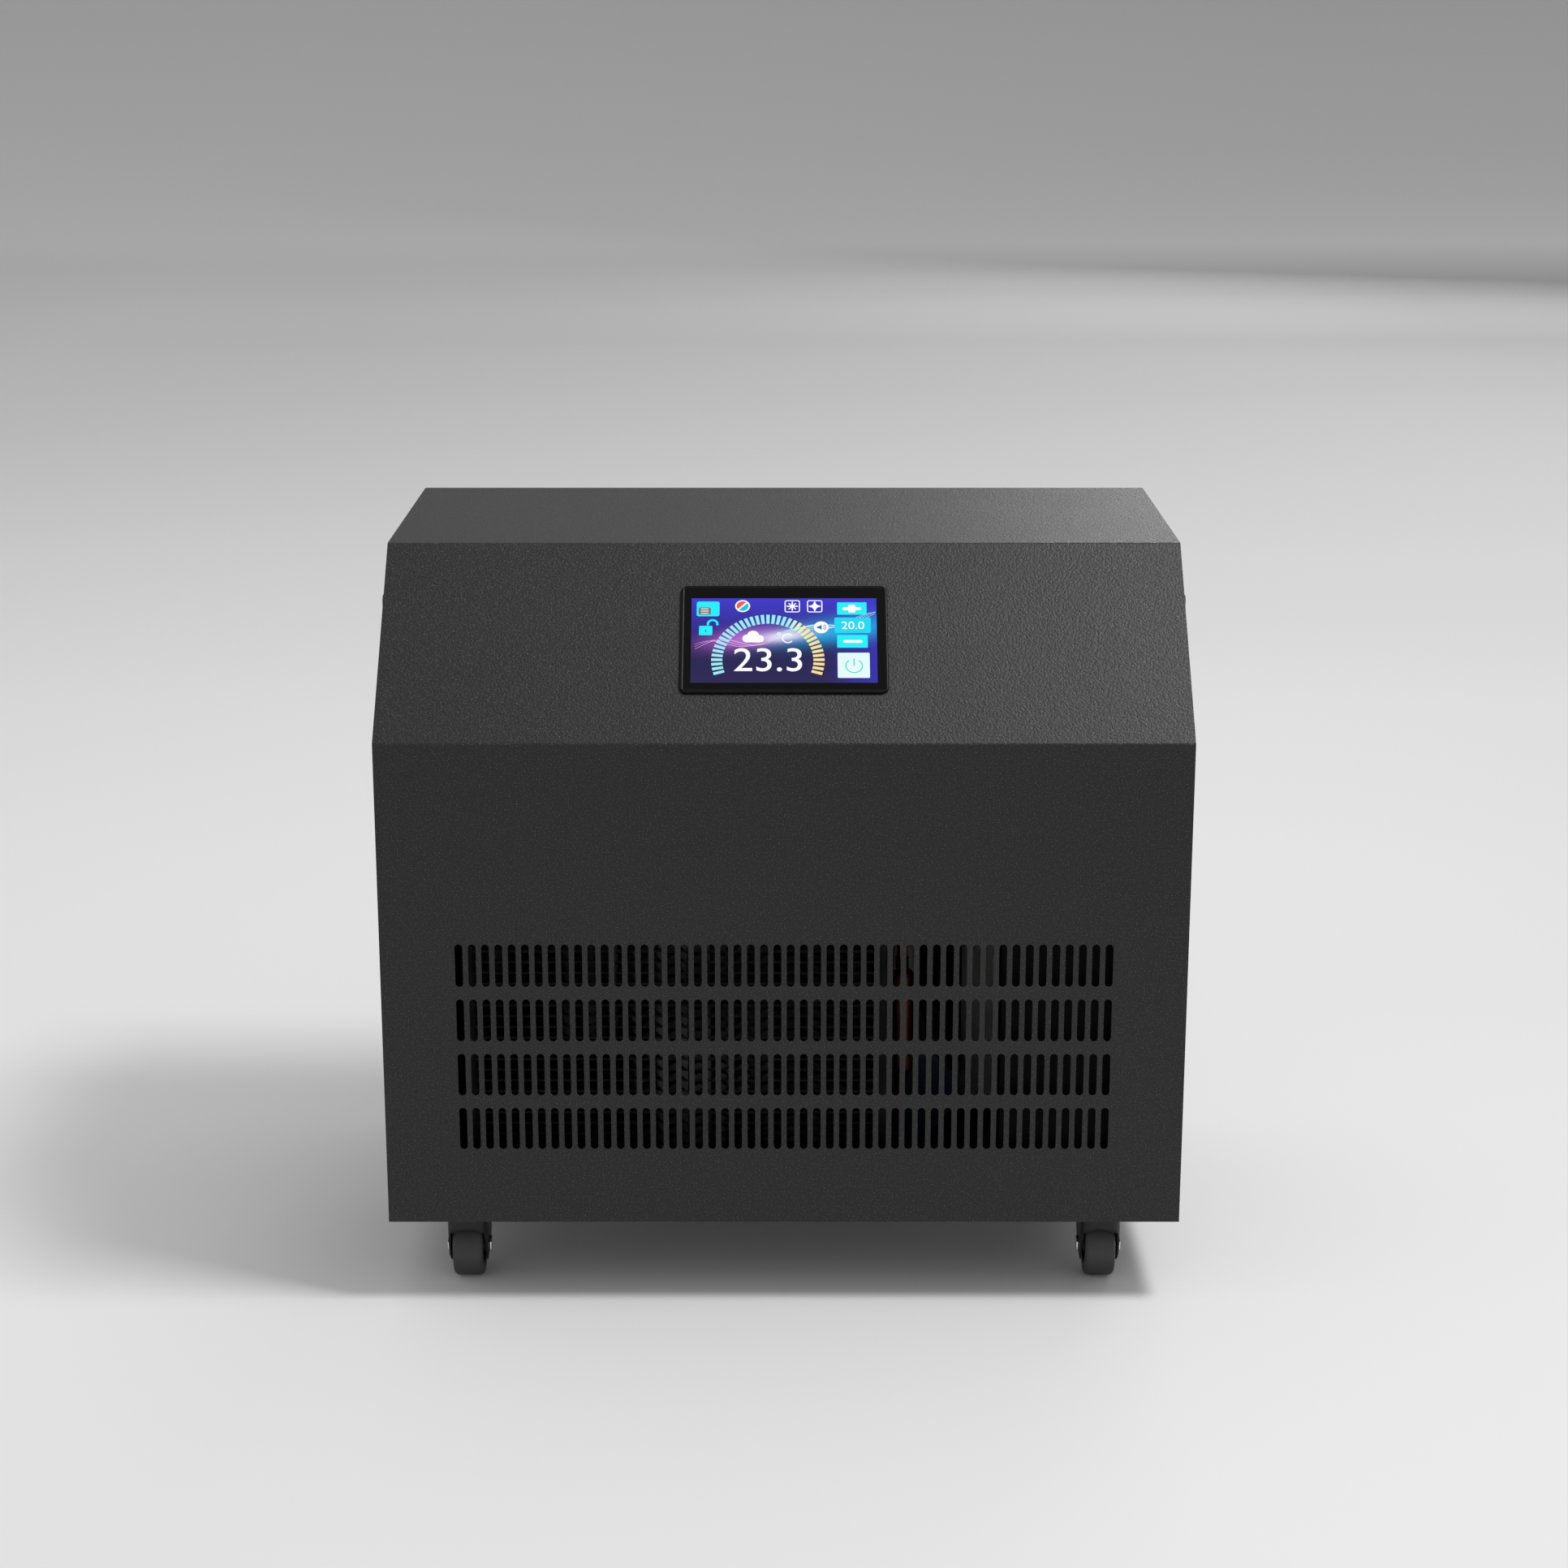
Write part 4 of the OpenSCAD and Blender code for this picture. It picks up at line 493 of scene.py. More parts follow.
@dataclass(frozen=True)
class LitScreen(Lit):
    """The screen's ground: a dark blue gradient under soft glows, black outside the lit area.

    Attributes:
        width: Width of the lit area in metres.
        height: Its height up the slope.
        slope_start: Distance along the slope's own direction at which its middle lies.
    """

    width: float = 0.154
    height: float = 0.083
    slope_start: float = 0.0

    def glow(self, g: Graph, x: object, y: object, at: tuple[float, float], size: tuple[float, float],
             lean: float) -> bpy.types.NodeSocket:
        """A soft oval glow exp(-(u / a)^2 - (v / b)^2), with v the height above a leaning line.

        Args:
            g: The material's nodes.
            x: Distance across the screen.
            y: Distance up the screen.
            at: Middle of the glow in metres.
            size: Its two half sizes a and b in metres.
            lean: Rise of its long axis for each metre across.

        Returns:
            The glow's share from 0 to 1.
        """
        u = g.math("SUBTRACT", x, at[0])
        v = g.math("SUBTRACT", g.math("SUBTRACT", y, at[1]), g.math("MULTIPLY", u, lean))
        u, v = g.math("DIVIDE", u, size[0]), g.math("DIVIDE", v, size[1])
        away = g.math("MULTIPLY_ADD", u, u, g.math("MULTIPLY", v, v))
        return g.math("EXPONENT", g.math("MULTIPLY", away, -1.0))

    def fill(self, g: Graph) -> None:
        """Sets the shader's sockets: a dark blue ground with pink, white and cyan glows laid over it."""
        super().fill(g)
        g.set({"Roughness": 0.12})
        x = g.along((1, 0, 0))
        y = g.along((0, math.sqrt(0.5), math.sqrt(0.5)), self.slope_start)
        ground = g.ramp(g.between(y, -self.height / 2, self.height / 2, 0, 1), (
            (0.0, srgb(44, 38, 84)), (0.4, srgb(34, 30, 82)), (0.65, srgb(48, 42, 140)),
            (1.0, srgb(64, 56, 200))))
        lit = g.mix(g.between(x, 0.035, 0.08, 0.0, 0.7), ground, srgb(60, 54, 200))
        for tint, share, at, size, lean in (
                (srgb(190, 104, 214), 0.9, (-0.030, 0.002), (0.032, 0.009), 0.14),
                (srgb(24, 170, 232), 0.95, (0.048, 0.010), (0.050, 0.011), 0.14),
                (srgb(240, 236, 252), 0.9, (0.0, 0.004), (0.020, 0.005), 0.14)):
            lit = g.mix(g.math("MULTIPLY", self.glow(g, x, y, at, size, lean), share), lit, tint)
        inside = g.math("MULTIPLY",
                        g.math("LESS_THAN", g.math("ABSOLUTE", x), self.width / 2),
                        g.math("LESS_THAN", g.math("ABSOLUTE", y), self.height / 2))
        g.set({"Emission Color": g.mix(inside, (0.0, 0.0, 0.0), lit)})


PEEL = Pattern(560, depth=0.0005, rough=0.05, tint=0.15, detail=1.5)
FINE_PEEL = Pattern(760, depth=0.00012, detail=2)
# Painted glints: fine bright dots in the coat's colour that stand for light caught by its texture.
PAINTED_GLINTS = Pattern(900, detail=1, painted_glint=4.6)
BROAD_TONE = Pattern(9, tint=0.02, rough=0.008, detail=1)
MOULD_GRAIN = Pattern(1500, depth=0.00003, tint=0.03, rough=0.04)
SOFT_GRAIN = Pattern(700, depth=0.00002, tint=0.05, rough=0.05)
CAST_GRAIN = Pattern(800, depth=0.00012, tint=0.06, rough=0.06)
DRAWN_X = Pattern(260, depth=0.00001, tint=0.05, rough=0.05, stretch=(0.05, 1, 1))
DRAWN_Z = Pattern(260, depth=0.00001, tint=0.05, rough=0.05, stretch=(1, 1, 0.05))
TARNISH = Pattern(45, tint=0.16, rough=0.10, detail=4)
SCUFF = Pattern(60, tint=0.05, rough=0.06, detail=4)

CABINET_COAT = Finish(
    "charcoal_powder_coat", "cabinet_paint", srgb(26, 26, 26), 0.5, specular=0.38,
    patterns=(PEEL, FINE_PEEL, PAINTED_GLINTS, BROAD_TONE))
# Base pan near black: painted shade for the cabinet's floor seen through the slots.
PAN_SHADE_BLACK = Finish(
    "pan_painted_shade_black", "pan_paint", srgb(20, 20, 21), 0.55, specular=0.35, patterns=(FINE_PEEL, SCUFF))
HANDLE_BLACK = Finish("handle_gloss_black", "handle_plastic", srgb(34, 34, 35), 0.28, patterns=(MOULD_GRAIN,))
BEZEL_BLACK = Finish(
    "bezel_gloss_black", "bezel_plastic", srgb(9, 9, 10), 0.34, specular=0.14, patterns=(SCUFF,))
LCD_CARD = Finish("circuit_green", "circuit", srgb(30, 84, 52), 0.4, patterns=(SOFT_GRAIN, SCUFF))
# Condenser core and fins: a black coat made near black, which paints the deep shade behind the slots.
CORE_SHADE_BLACK = Finish(
    "core_painted_shade_black", "condenser_metal", srgb(13, 13, 14), 0.55, specular=0.2, patterns=(DRAWN_X, SCUFF))
FIN_SHADE_BLACK = Finish(
    "fin_painted_shade_black", "fin_metal", srgb(11, 11, 12), 0.6, specular=0.15, patterns=(SOFT_GRAIN,))
GUARD_BLACK = Finish("dipped_black_wire", "guard_paint", srgb(30, 30, 31), 0.32, coat=0.2, patterns=(SCUFF,))
MOTOR_GREY = Finish("cast_motor_grey", "motor_metal", srgb(96, 99, 103), 0.45, 0.6, patterns=(CAST_GRAIN,))
BLADE_BLACK = Finish("satin_blade_black", "blade_paint", srgb(44, 45, 48), 0.4, patterns=(CAST_GRAIN, SCUFF))
ENAMEL = Finish(
    "compressor_enamel", "compressor_paint", srgb(20, 20, 21), 0.2, coat=0.5, patterns=(CAST_GRAIN,))
WINDING = Finish("winding_copper", "winding", srgb(150, 84, 46), 0.4, 0.8, patterns=(DRAWN_Z,))
MACHINED = Finish("machined_steel", "machined_steel", srgb(150, 152, 155), 0.3, 1.0, patterns=(DRAWN_Z,))
SCREW_DARK = Finish("blackened_screw", "screw_steel", srgb(70, 71, 74), 0.36, 0.9, patterns=(SCUFF,))
FOOT_RUBBER = Finish("foot_rubber", "rubber", srgb(30, 30, 30), 0.8, patterns=(CAST_GRAIN,))
VESSEL_WHITE = Finish(
    "vessel_grey_white", "vessel_plastic", srgb(206, 208, 208), 0.45, patterns=(MOULD_GRAIN, SCUFF))
TITANIUM = Finish("titanium_tube", "titanium", srgb(150, 144, 136), 0.35, 1.0, patterns=(SCUFF,))
COPPER = Finish("copper_tube", "copper", srgb(150, 92, 62), 0.36, 1.0, patterns=(TARNISH,))
BRASS = Finish("turned_brass", "brass", srgb(200, 168, 100), 0.28, 1.0, patterns=(SCUFF,))
PUMP_BLACK = Finish("pump_black", "pump_plastic", srgb(38, 39, 41), 0.5, patterns=(MOULD_GRAIN,))
IMPELLER_WHITE = Finish(
    "impeller_natural", "impeller_plastic", srgb(200, 202, 203), 0.45, patterns=(MOULD_GRAIN,))
PUMP_BLUE = Finish("pump_motor_blue", "pump_paint", srgb(24, 42, 72), 0.4, coat=0.1, patterns=(CAST_GRAIN,))
HOSE_WHITE = Finish("hose_white", "hose", srgb(214, 214, 208), 0.55, patterns=(SOFT_GRAIN,))
CAP_BLACK = Finish("cap_black", "cap_plastic", srgb(30, 30, 31), 0.45, patterns=(MOULD_GRAIN,))
INLET_BLACK = Finish("inlet_black", "inlet_plastic", srgb(26, 26, 27), 0.4, patterns=(MOULD_GRAIN,))
# Control box near black, darker than its grey paint: painted shade behind the right-hand slots.
BOX_SHADE_BLACK = Finish(
    "box_painted_shade_black", "box_metal", srgb(11, 11, 12), 0.6, specular=0.08, patterns=(FINE_PEEL, SCUFF))
CASTER_BLACK = Finish("caster_black_plate", "caster_steel", srgb(38, 38, 39), 0.35, 0.5, patterns=(SCUFF,))
BOLT_ZINC = Finish("bolt_zinc", "bolt_steel", srgb(170, 172, 174), 0.3, 1.0, patterns=(SCUFF,))
FORK_BLACK = Finish(
    "fork_black_nylon", "fork_plastic", srgb(25, 25, 26), 0.42, specular=0.35, patterns=(MOULD_GRAIN, SCUFF))
CHROME = Finish("axle_chrome", "chrome", srgb(222, 224, 226), 0.08, 1.0, patterns=(SCUFF,))
HUB_DARK = Finish("hub_dark_nylon", "hub_plastic", srgb(44, 44, 46), 0.5, patterns=(MOULD_GRAIN,))
TREAD = Finish("tyre_dark_rubber", "tyre", srgb(56, 56, 56), 0.6, patterns=(CAST_GRAIN, SCUFF))

LIT_WHITE = Lit("lit_white", (0.97, 0.97, 0.98))
LIT_CYAN = Lit("lit_cyan", srgb(38, 238, 250))
LIT_DEEP_CYAN = Lit("lit_deep_cyan", srgb(32, 216, 240))
LIT_PALE = Lit("lit_pale", srgb(228, 250, 251))
LIT_TEAL = Lit("lit_teal", srgb(70, 222, 200))
LIT_NAVY = Lit("lit_navy", srgb(22, 104, 148))
LIT_RED = Lit("lit_red", srgb(232, 96, 84))
LIT_SKY = Lit("lit_sky", srgb(30, 190, 228))
LIT_GREY = Lit("lit_grey", srgb(112, 114, 118))
LIT_ROSE = Lit("lit_rose", srgb(242, 178, 236))
LIT_ICE = Lit("lit_ice", srgb(196, 240, 253))
LIT_SCALE = LitScale("lit_scale", srgb(160, 232, 246))


# ---------------------------------------------------------------- pieces


def linked(name: str, data: bpy.types.ID) -> bpy.types.Object:
    """A new object of a mesh, lamp, camera or text, linked to the scene."""
    obj = bpy.data.objects.new(name, data)
    bpy.context.scene.collection.objects.link(obj)
    return obj


def piece(name: str, surface: Surface, finish: Look, body: str = ROOT,
          replaces: Sequence[str] = (), sharp: float = 32.0) -> bpy.types.Object:
    """Makes a finished piece of a surface and lets it ride on its body.

    Args:
        name: Name of the piece.
        surface: Its shells, in millimetres in the part's frame.
        finish: Its finish.
        body: The body that it moves with.
        replaces: CAD nodes that it stands for.
        sharp: Angle between two faces, in degrees, above which their edge stays crisp.

    Returns:
        The piece, at the origin.
    """
    mesh = bpy.data.meshes.new(name)
    totals = np.concatenate([np.full(len(f), f.shape[1]) for f in surface.faces])
    corners = np.concatenate([f.ravel() for f in surface.faces])
    mesh.vertices.add(len(surface.points))
    mesh.vertices.foreach_set("co", (surface.points * MM).astype(np.float32).ravel())
    mesh.loops.add(len(corners))
    mesh.loops.foreach_set("vertex_index", corners.astype(np.int32))
    mesh.polygons.add(len(totals))
    mesh.polygons.foreach_set("loop_start", np.concatenate([[0], np.cumsum(totals)[:-1]]).astype(np.int32))
    mesh.update(calc_edges=True)
    tidy_mesh(mesh, sharp)
    obj = linked(name, mesh)
    mesh.materials.append(finish.material())
    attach(obj, body)
    if replaces:
        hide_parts(*replaces)
    log.info("%s: %d points, %d faces", name, len(mesh.vertices), len(mesh.polygons))
    return obj


def clean_mesh(mesh: bpy.types.Mesh, flat: float = 0.0) -> None:
    """Merges a mesh's doubles and turns its faces outwards.

    Args:
        mesh: The mesh, changed in place.
        flat: Angle in degrees within which neighbouring faces are joined into one, or zero.
    """
    work = bmesh.new()
    work.from_mesh(mesh)
    bmesh.ops.remove_doubles(work, verts=work.verts, dist=MERGE)
    if flat:
        bmesh.ops.dissolve_limit(work, angle_limit=math.radians(flat), verts=work.verts, edges=work.edges)
    bmesh.ops.recalc_face_normals(work, faces=work.faces)
    work.to_mesh(mesh)
    work.free()


def evaluated_mesh(obj: bpy.types.Object) -> bpy.types.Mesh:
    """A new mesh of an object as its modifiers, or its text's settings, make it."""
    return bpy.data.meshes.new_from_object(obj.evaluated_get(bpy.context.evaluated_depsgraph_get()))


def tidy_mesh(mesh: bpy.types.Mesh, sharp: float) -> None:
    """Cleans a mesh and shades it smooth, with the edges above an angle in degrees kept crisp."""
    clean_mesh(mesh)
    mesh.polygons.foreach_set("use_smooth", np.ones(len(mesh.polygons), bool))
    mesh.set_sharp_from_angle(angle=math.radians(sharp))


def dress(finish: Look, *nodes: str) -> None:
    """Gives CAD nodes a finish."""
    for name in nodes:
        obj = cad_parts[name]
        if not obj.material_slots:
            obj.data.materials.append(None)
        for held in obj.material_slots:
            held.material = finish.material()
        log.info("%s: dressed in %s", name, finish.name)


def rounded_copy(name: str, node: str, finish: Finish, width: float, body: str = ROOT,
                 flat: float = 1.0, sharp: float = 35.0) -> bpy.types.Object:
    """A CAD node's mesh with its doubles merged and its edges rounded, which stands for the node.

    Args:
        name: Name of the new piece.
        node: The CAD node that is copied.
        finish: Finish of the copy.
        width: Width of the rounded edges, in millimetres.
        body: The body that it moves with.
        flat: Angle in degrees within which the node's loose triangles are one face.
        sharp: Angle in degrees above which an edge is rounded.

    Returns:
        The new piece.
    """
    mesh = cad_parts[node].data.copy()
    mesh.name = name
    clean_mesh(mesh, flat)
    mesh.materials.clear()
    mesh.materials.append(finish.material())
    if mesh.has_custom_normals:
        mesh.attributes.remove(mesh.attributes["custom_normal"])
    obj = linked(name, mesh)
    edge = obj.modifiers.new("edges", "BEVEL")
    edge.width = width * MM
    edge.segments = 3
    edge.limit_method = "ANGLE"
    edge.angle_limit = math.radians(sharp)
    edge.use_clamp_overlap = True
    baked = evaluated_mesh(obj)
    obj.modifiers.clear()
    obj.data = baked
    tidy_mesh(baked, 40)
    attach(obj, body)
    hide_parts(node)
    log.info("%s: rounded copy of %s, %d faces", name, node, len(baked.polygons))
    return obj


# ---------------------------------------------------------------- studio


@dataclass(frozen=True)
class Lamp:
    """A soft rectangular lamp.

    Attributes:
        name: Name of the lamp.
        place: Where it hangs.
        aim: The point that it faces.
        size: Its width and height.
        power: Its power in watts.
    """

    name: str
    place: tuple[float, float, float]
    aim: tuple[float, float, float]
    size: tuple[float, float]
    power: float


@dataclass
class Studio:
    """Camera, lamps, floor and backdrop. Sizes are in metres.

    Attributes:
        front: Distance of the cabinet's front face before the origin.
        distance: Distance of the camera before the front face.
        height: Height of the camera.
        pitch: Angle in degrees that the camera looks down.
        lens: Focal length in millimetres on a 36 mm frame.
        left: Tones of the sheet 2.2 m to the left, each at a share of the way along it.
        right: Tones of the sheet 2.2 m to the right. Both are painted light and shade: they fall from
            near white on the floor to grey up the wall, and the right ones are held down where the key and
            rim lamps light the sheet.
        side: Distance to the left and right at which those tones are reached.
        world: Level of the even light from all round.
        lamps: The lamp above the slope, and the one far behind that throws the shadow forward.
    """

    front: float = 0.22325
    distance: float = 2.4017
    height: float = 1.1
    pitch: float = 15.0
    lens: float = 70.0
    left: tuple[tuple[float, float], ...] = (
        (0.078, 0.98), (0.143, 0.97), (0.174, 0.955), (0.219, 0.915), (0.286, 0.82), (0.333, 0.752),
        (0.373, 0.705), (0.422, 0.67), (0.483, 0.645), (0.563, 0.655), (0.647, 0.695), (0.700, 0.665),
        (0.748, 0.635), (0.794, 0.61), (0.883, 0.565))
    right: tuple[tuple[float, float], ...] = (
        (0.078, 0.62), (0.143, 0.65), (0.174, 0.745), (0.219, 0.85), (0.286, 0.84), (0.333, 0.75),
        (0.373, 0.645), (0.422, 0.5), (0.483, 0.36), (0.563, 0.43), (0.647, 0.725), (0.700, 0.645),
        (0.748, 0.6), (0.794, 0.58), (0.883, 0.54))
    side: float = 2.2
    world: float = 0.58
    lamps: tuple[Lamp, ...] = (
        Lamp("key", (1.11, -0.51, 2.7), (0, 0, 0.4), (0.75, 0.52), 43),
        Lamp("rim", (2.74, 8.0, 2.4), (0, 0, 0.6), (3.6, 1.7), 124))

    def camera(self) -> None:
        """Sets the scene's camera at the photograph's place."""
        data = bpy.data.cameras.new("camera")
        data.lens = self.lens
        data.sensor_width = 36
        obj = linked("camera", data)
        obj.location = (0, -self.front - self.distance, self.height)
        obj.rotation_euler = (math.radians(90 - self.pitch), 0, 0)
        bpy.context.scene.camera = obj

    def hang(self, lamp: Lamp) -> None:
        """Adds a lamp to the scene."""
        data = bpy.data.lights.new(lamp.name, "AREA")
        data.shape = "RECTANGLE"
        data.size, data.size_y = lamp.size
        data.energy = lamp.power
        obj = linked(lamp.name, data)
        obj.location = lamp.place
        obj.rotation_euler = (Vector(lamp.aim) - Vector(lamp.place)).to_track_quat("-Z", "Y").to_euler()

    def sweep(self) -> None:
        """Makes the floor and backdrop as one sheet.

        Its section runs along the floor, up a quarter circle and up the wall. Its tone follows two ramps
        on y + 3 z, one for each side, blended across X. The ramps paint light and shade into the sheet's
        colour: darker up the wall, and darker on the right where the lamps fall on it.
        """
        flat, bend, wall, half = 9.0, 2.5, 5.0, 14.0
        climb, start, stop = 3.0, -2.0, 16.0
        a = np.linspace(0, np.pi / 2, 33)
        section = np.concatenate([
            np.array([(-half, 0.0), (-2.0, 0.0), (2.0, 0.0)]),
            np.stack([flat + bend * np.sin(a), bend * (1 - np.cos(a))], 1),
            np.array([(flat + bend, wall)])])
        x = np.array([-half, half])
        points = np.stack([
            np.broadcast_to(x[None], (len(section), 2)),
            np.broadcast_to(section[:, :1], (len(section), 2)),
            np.broadcast_to(section[:, 1:], (len(section), 2))], -1)
        mesh = bpy.data.meshes.new("backdrop")
        mesh.from_pydata(points.reshape(-1, 3).tolist(), [], grid_faces(len(section), 2).tolist())
        mesh.polygons.foreach_set("use_smooth", np.ones(len(mesh.polygons), bool))
        g = Graph("backdrop")
        reach = g.math("ADD", g.along((0, 1, 0)), g.math("MULTIPLY", g.along((0, 0, 1)), climb))
        along = g.between(reach, start, stop, 0, 1)
        # The ramps' tones are painted light and shade, not an even colour of the sheet.
        left, right = (
            g.ramp(along, [(place, (tone,) * 3) for place, tone in painted_light_tones])
            for painted_light_tones in (self.left, self.right))
        across = g.between(g.along((1, 0, 0)), -self.side, self.side, 0, 1)
        g.set({"Base Color": g.mix(across, left, right), "Roughness": 0.9, "Specular IOR Level": 0.1})
        mesh.materials.append(g.material)
        linked("backdrop", mesh)

    def sky(self) -> None:
        """Lights the scene evenly from all round."""
        world = bpy.data.worlds.new("studio")
        world.use_nodes = True
        ground = world.node_tree.nodes["Background"]
        ground.inputs[0].default_value = (self.world, self.world, self.world, 1)
        ground.inputs[1].default_value = 1.0
        bpy.context.scene.world = world

    def build(self) -> None:
        """Makes the camera, the stage and the lamps."""
        self.camera()
        self.sweep()
        self.sky()
        for lamp in self.lamps:
            self.hang(lamp)
        bpy.context.scene.view_settings.view_transform = "Standard"


# ---------------------------------------------------------------- cabinet


@dataclass
class Cabinet:
    """The sheet-metal cabinet, its screws and its flush handles. Sizes are in millimetres.

    Attributes:
        half_w: Half the cabinet's width.
        handle_y: Middle of a handle along the depth.
        handle_z: Middle of a handle's flange.
        flange: Width, height and corner radius of the flange.
        thick: How far the flange stands out of the panel.
        mouth: Width, height and corner radius of the mouth.
        hook: How far the pocket reaches up behind the mouth.
        depth: Depth of the pocket.
        wall: Wall of the pocket.
    """

    half_w: float = 335.0
    handle_y: float = -12.25
    handle_z: float = 547.0
    flange: tuple[float, float, float] = (182.0, 90.0, 10.0)
    thick: float = 4.2
    mouth: tuple[float, float, float] = (150.0, 56.0, 5.0)
    hook: float = 12.0
    depth: float = 42.0
    wall: float = 2.5

    def handle(self) -> Surface:
        """One handle on the right side.

        Rounded rectangles run from the pocket's outer back, out over the flange's rim and the bead that
        stands on it, in through the mouth and along the pocket's inside to its back.

        Returns:
            The closed surface, its own Z pointing out of the panel.
        """
        width, height, radius = self.flange
        mouth_w, mouth_h, mouth_r = self.mouth
        box_w, box_h = mouth_w + 2 * self.wall, mouth_h + self.hook + 2 * self.wall
        low = -self.hook / 2
        box_r, pocket_r = 2.5, 1.0
        rim_top, rim_r = 2.2, 1.2
        bead_in, bead_r, lip = 4.0, 1.4, 1.6
        a = np.linspace(0, np.pi / 2, 7)
        quarter = list(zip(np.cos(a), np.sin(a)))
        rows = [(box_w, box_h, box_r, -self.depth, 0.0), (box_w, box_h, box_r, 0.0, 0.0),
                (width, height, radius, 0.0, 0.0)]
        rows += [(width - 2 * cut * (1 - c) - 2 * start, height - 2 * cut * (1 - c) - 2 * start,
                  radius - start - cut * (1 - c), top - cut * (1 - s), 0.0)
                 for start, top, cut in ((0.0, rim_top, rim_r), (bead_in, self.thick, bead_r))
                 for c, s in quarter]
        rows += [(mouth_w + 2 * lip * (1 - s), mouth_h + 2 * lip * (1 - s), mouth_r + lip * (1 - s),
                  self.thick - lip * (1 - c), low) for c, s in quarter]
        rows += [(mouth_w, mouth_h, mouth_r, 0.0, low), (mouth_w, mouth_h + self.hook, pocket_r, 0.0, 0.0),
                 (mouth_w, mouth_h + self.hook, pocket_r, self.wall - self.depth, 0.0)]
        return loft(np.stack([
            raised(rectangle(w, h, r), z) + np.array((0, shift, 0)) for w, h, r, z, shift in rows]))

    def screws(self) -> Surface:
        """Pan-head screws with a cross recess at the places of the CAD's screws.

        On a head of radius R and height H, a point at share s of the radius is H (1 - s^4) high, less
        the recess: a depth that fades where the point leaves either bar of the cross.
        """
        radius, high, shank_r, length, around = 4.0, 2.2, 1.95, 8.0, 40
        bar, reach, deep, edge, fade = 0.75, 2.3, 1.3, 0.3, 1.4
        t = 2 * np.pi * np.arange(around) / around
        s = np.linspace(0, 1, 15)[:, None]
        x, y = radius * s * np.cos(t), radius * s * np.sin(t)
        flat_x, flat_y = np.abs(x), np.abs(y)
        near = np.minimum(
            np.maximum(flat_x - bar, flat_y - reach), np.maximum(flat_y - bar, flat_x - reach))
        recess = deep * np.clip(-near / edge, 0, 1) * np.clip(fade - s, 0, 1)
        z = high * (1 - s**4) * np.ones_like(x) - recess
        top = np.stack([x, y, np.maximum(z, 0.0)], -1)
        shank = np.array([(radius, 0.0), (shank_r, 0.0), (shank_r, -length), (0.0, -length)])
        lower = np.stack([shank[:, :1] * np.cos(t), shank[:, :1] * np.sin(t), shank[:, 1:] + 0 * t], -1)
        rows = np.concatenate([top, lower])
        return Surface(rows.reshape(-1, 3), [grid_faces(len(rows), around, False, True)])

    def screw_places(self) -> list[tuple[Array, Array]]:
        """Turn and place of each of the cabinet's screws."""
        back, face, top, pan = 198.75, 197.25, 622.5, 92.5
        sole, lip_y, edge_x = 72.0, -214.25, 327.5
        y_turn, down = Axis.Y.turn, np.diag((1.0, -1.0, -1.0))
        found = []
        for x in (-167.5, 0.0, 167.5):
            found.append((y_turn, np.array((x, back, top))))
            found.append((y_turn, np.array((x, face, pan))))
            found.append((down, np.array((x, lip_y, sole))))
        for side in (-1.0, 1.0):
            out = Axis.X.turn * side
            for z in (460.0, 281.0, 132.0):
                found.append((y_turn, np.array((side * edge_x, back, z))))
            for y in (-117.75, 93.25):
                found.append((out, np.array((side * self.half_w, y, pan))))
        fan_x, fan_z, ring, tab = -92, 352, 174.5, 4.0
        for a in np.radians((45, 135, 225, 315)):
            place = (fan_x + ring * math.cos(a), face + tab, fan_z + ring * math.sin(a))
            found.append((y_turn, np.array(place)))
        return found

    def build(self) -> None:
        """Dresses the sheets and makes the handles and screws."""
        dress(CABINET_COAT, "front_cover", "left_side_panel", "right_side_panel", "rear_panel")
        # The base pan's near-black finish is painted shade.
        dress(PAN_SHADE_BLACK, "base_pan")
        handle = self.handle()
        for side, name in ((1.0, "right_handle"), (-1.0, "left_handle")):
            turn = np.array(((0, 0, side), (side, 0, 0), (0, 1, 0)))
            placed = handle.placed(turn, (side * self.half_w, self.handle_y, self.handle_z))
            piece(f"{name}_grip", placed, HANDLE_BLACK, replaces=(name,), sharp=40)
        turns, shifts = zip(*self.screw_places())
        piece("cabinet_screws", copies(self.screws(), np.array(turns), np.array(shifts)), SCREW_DARK,
              replaces=("panel_screws",), sharp=50)


# ---------------------------------------------------------------- display


class Layer(Enum):
    """Heights of the lit shapes above the slope, in millimetres."""

    STREAK = 2.32
    BUTTON = 2.35
    SYMBOL = 2.38
    DETAIL = 2.41


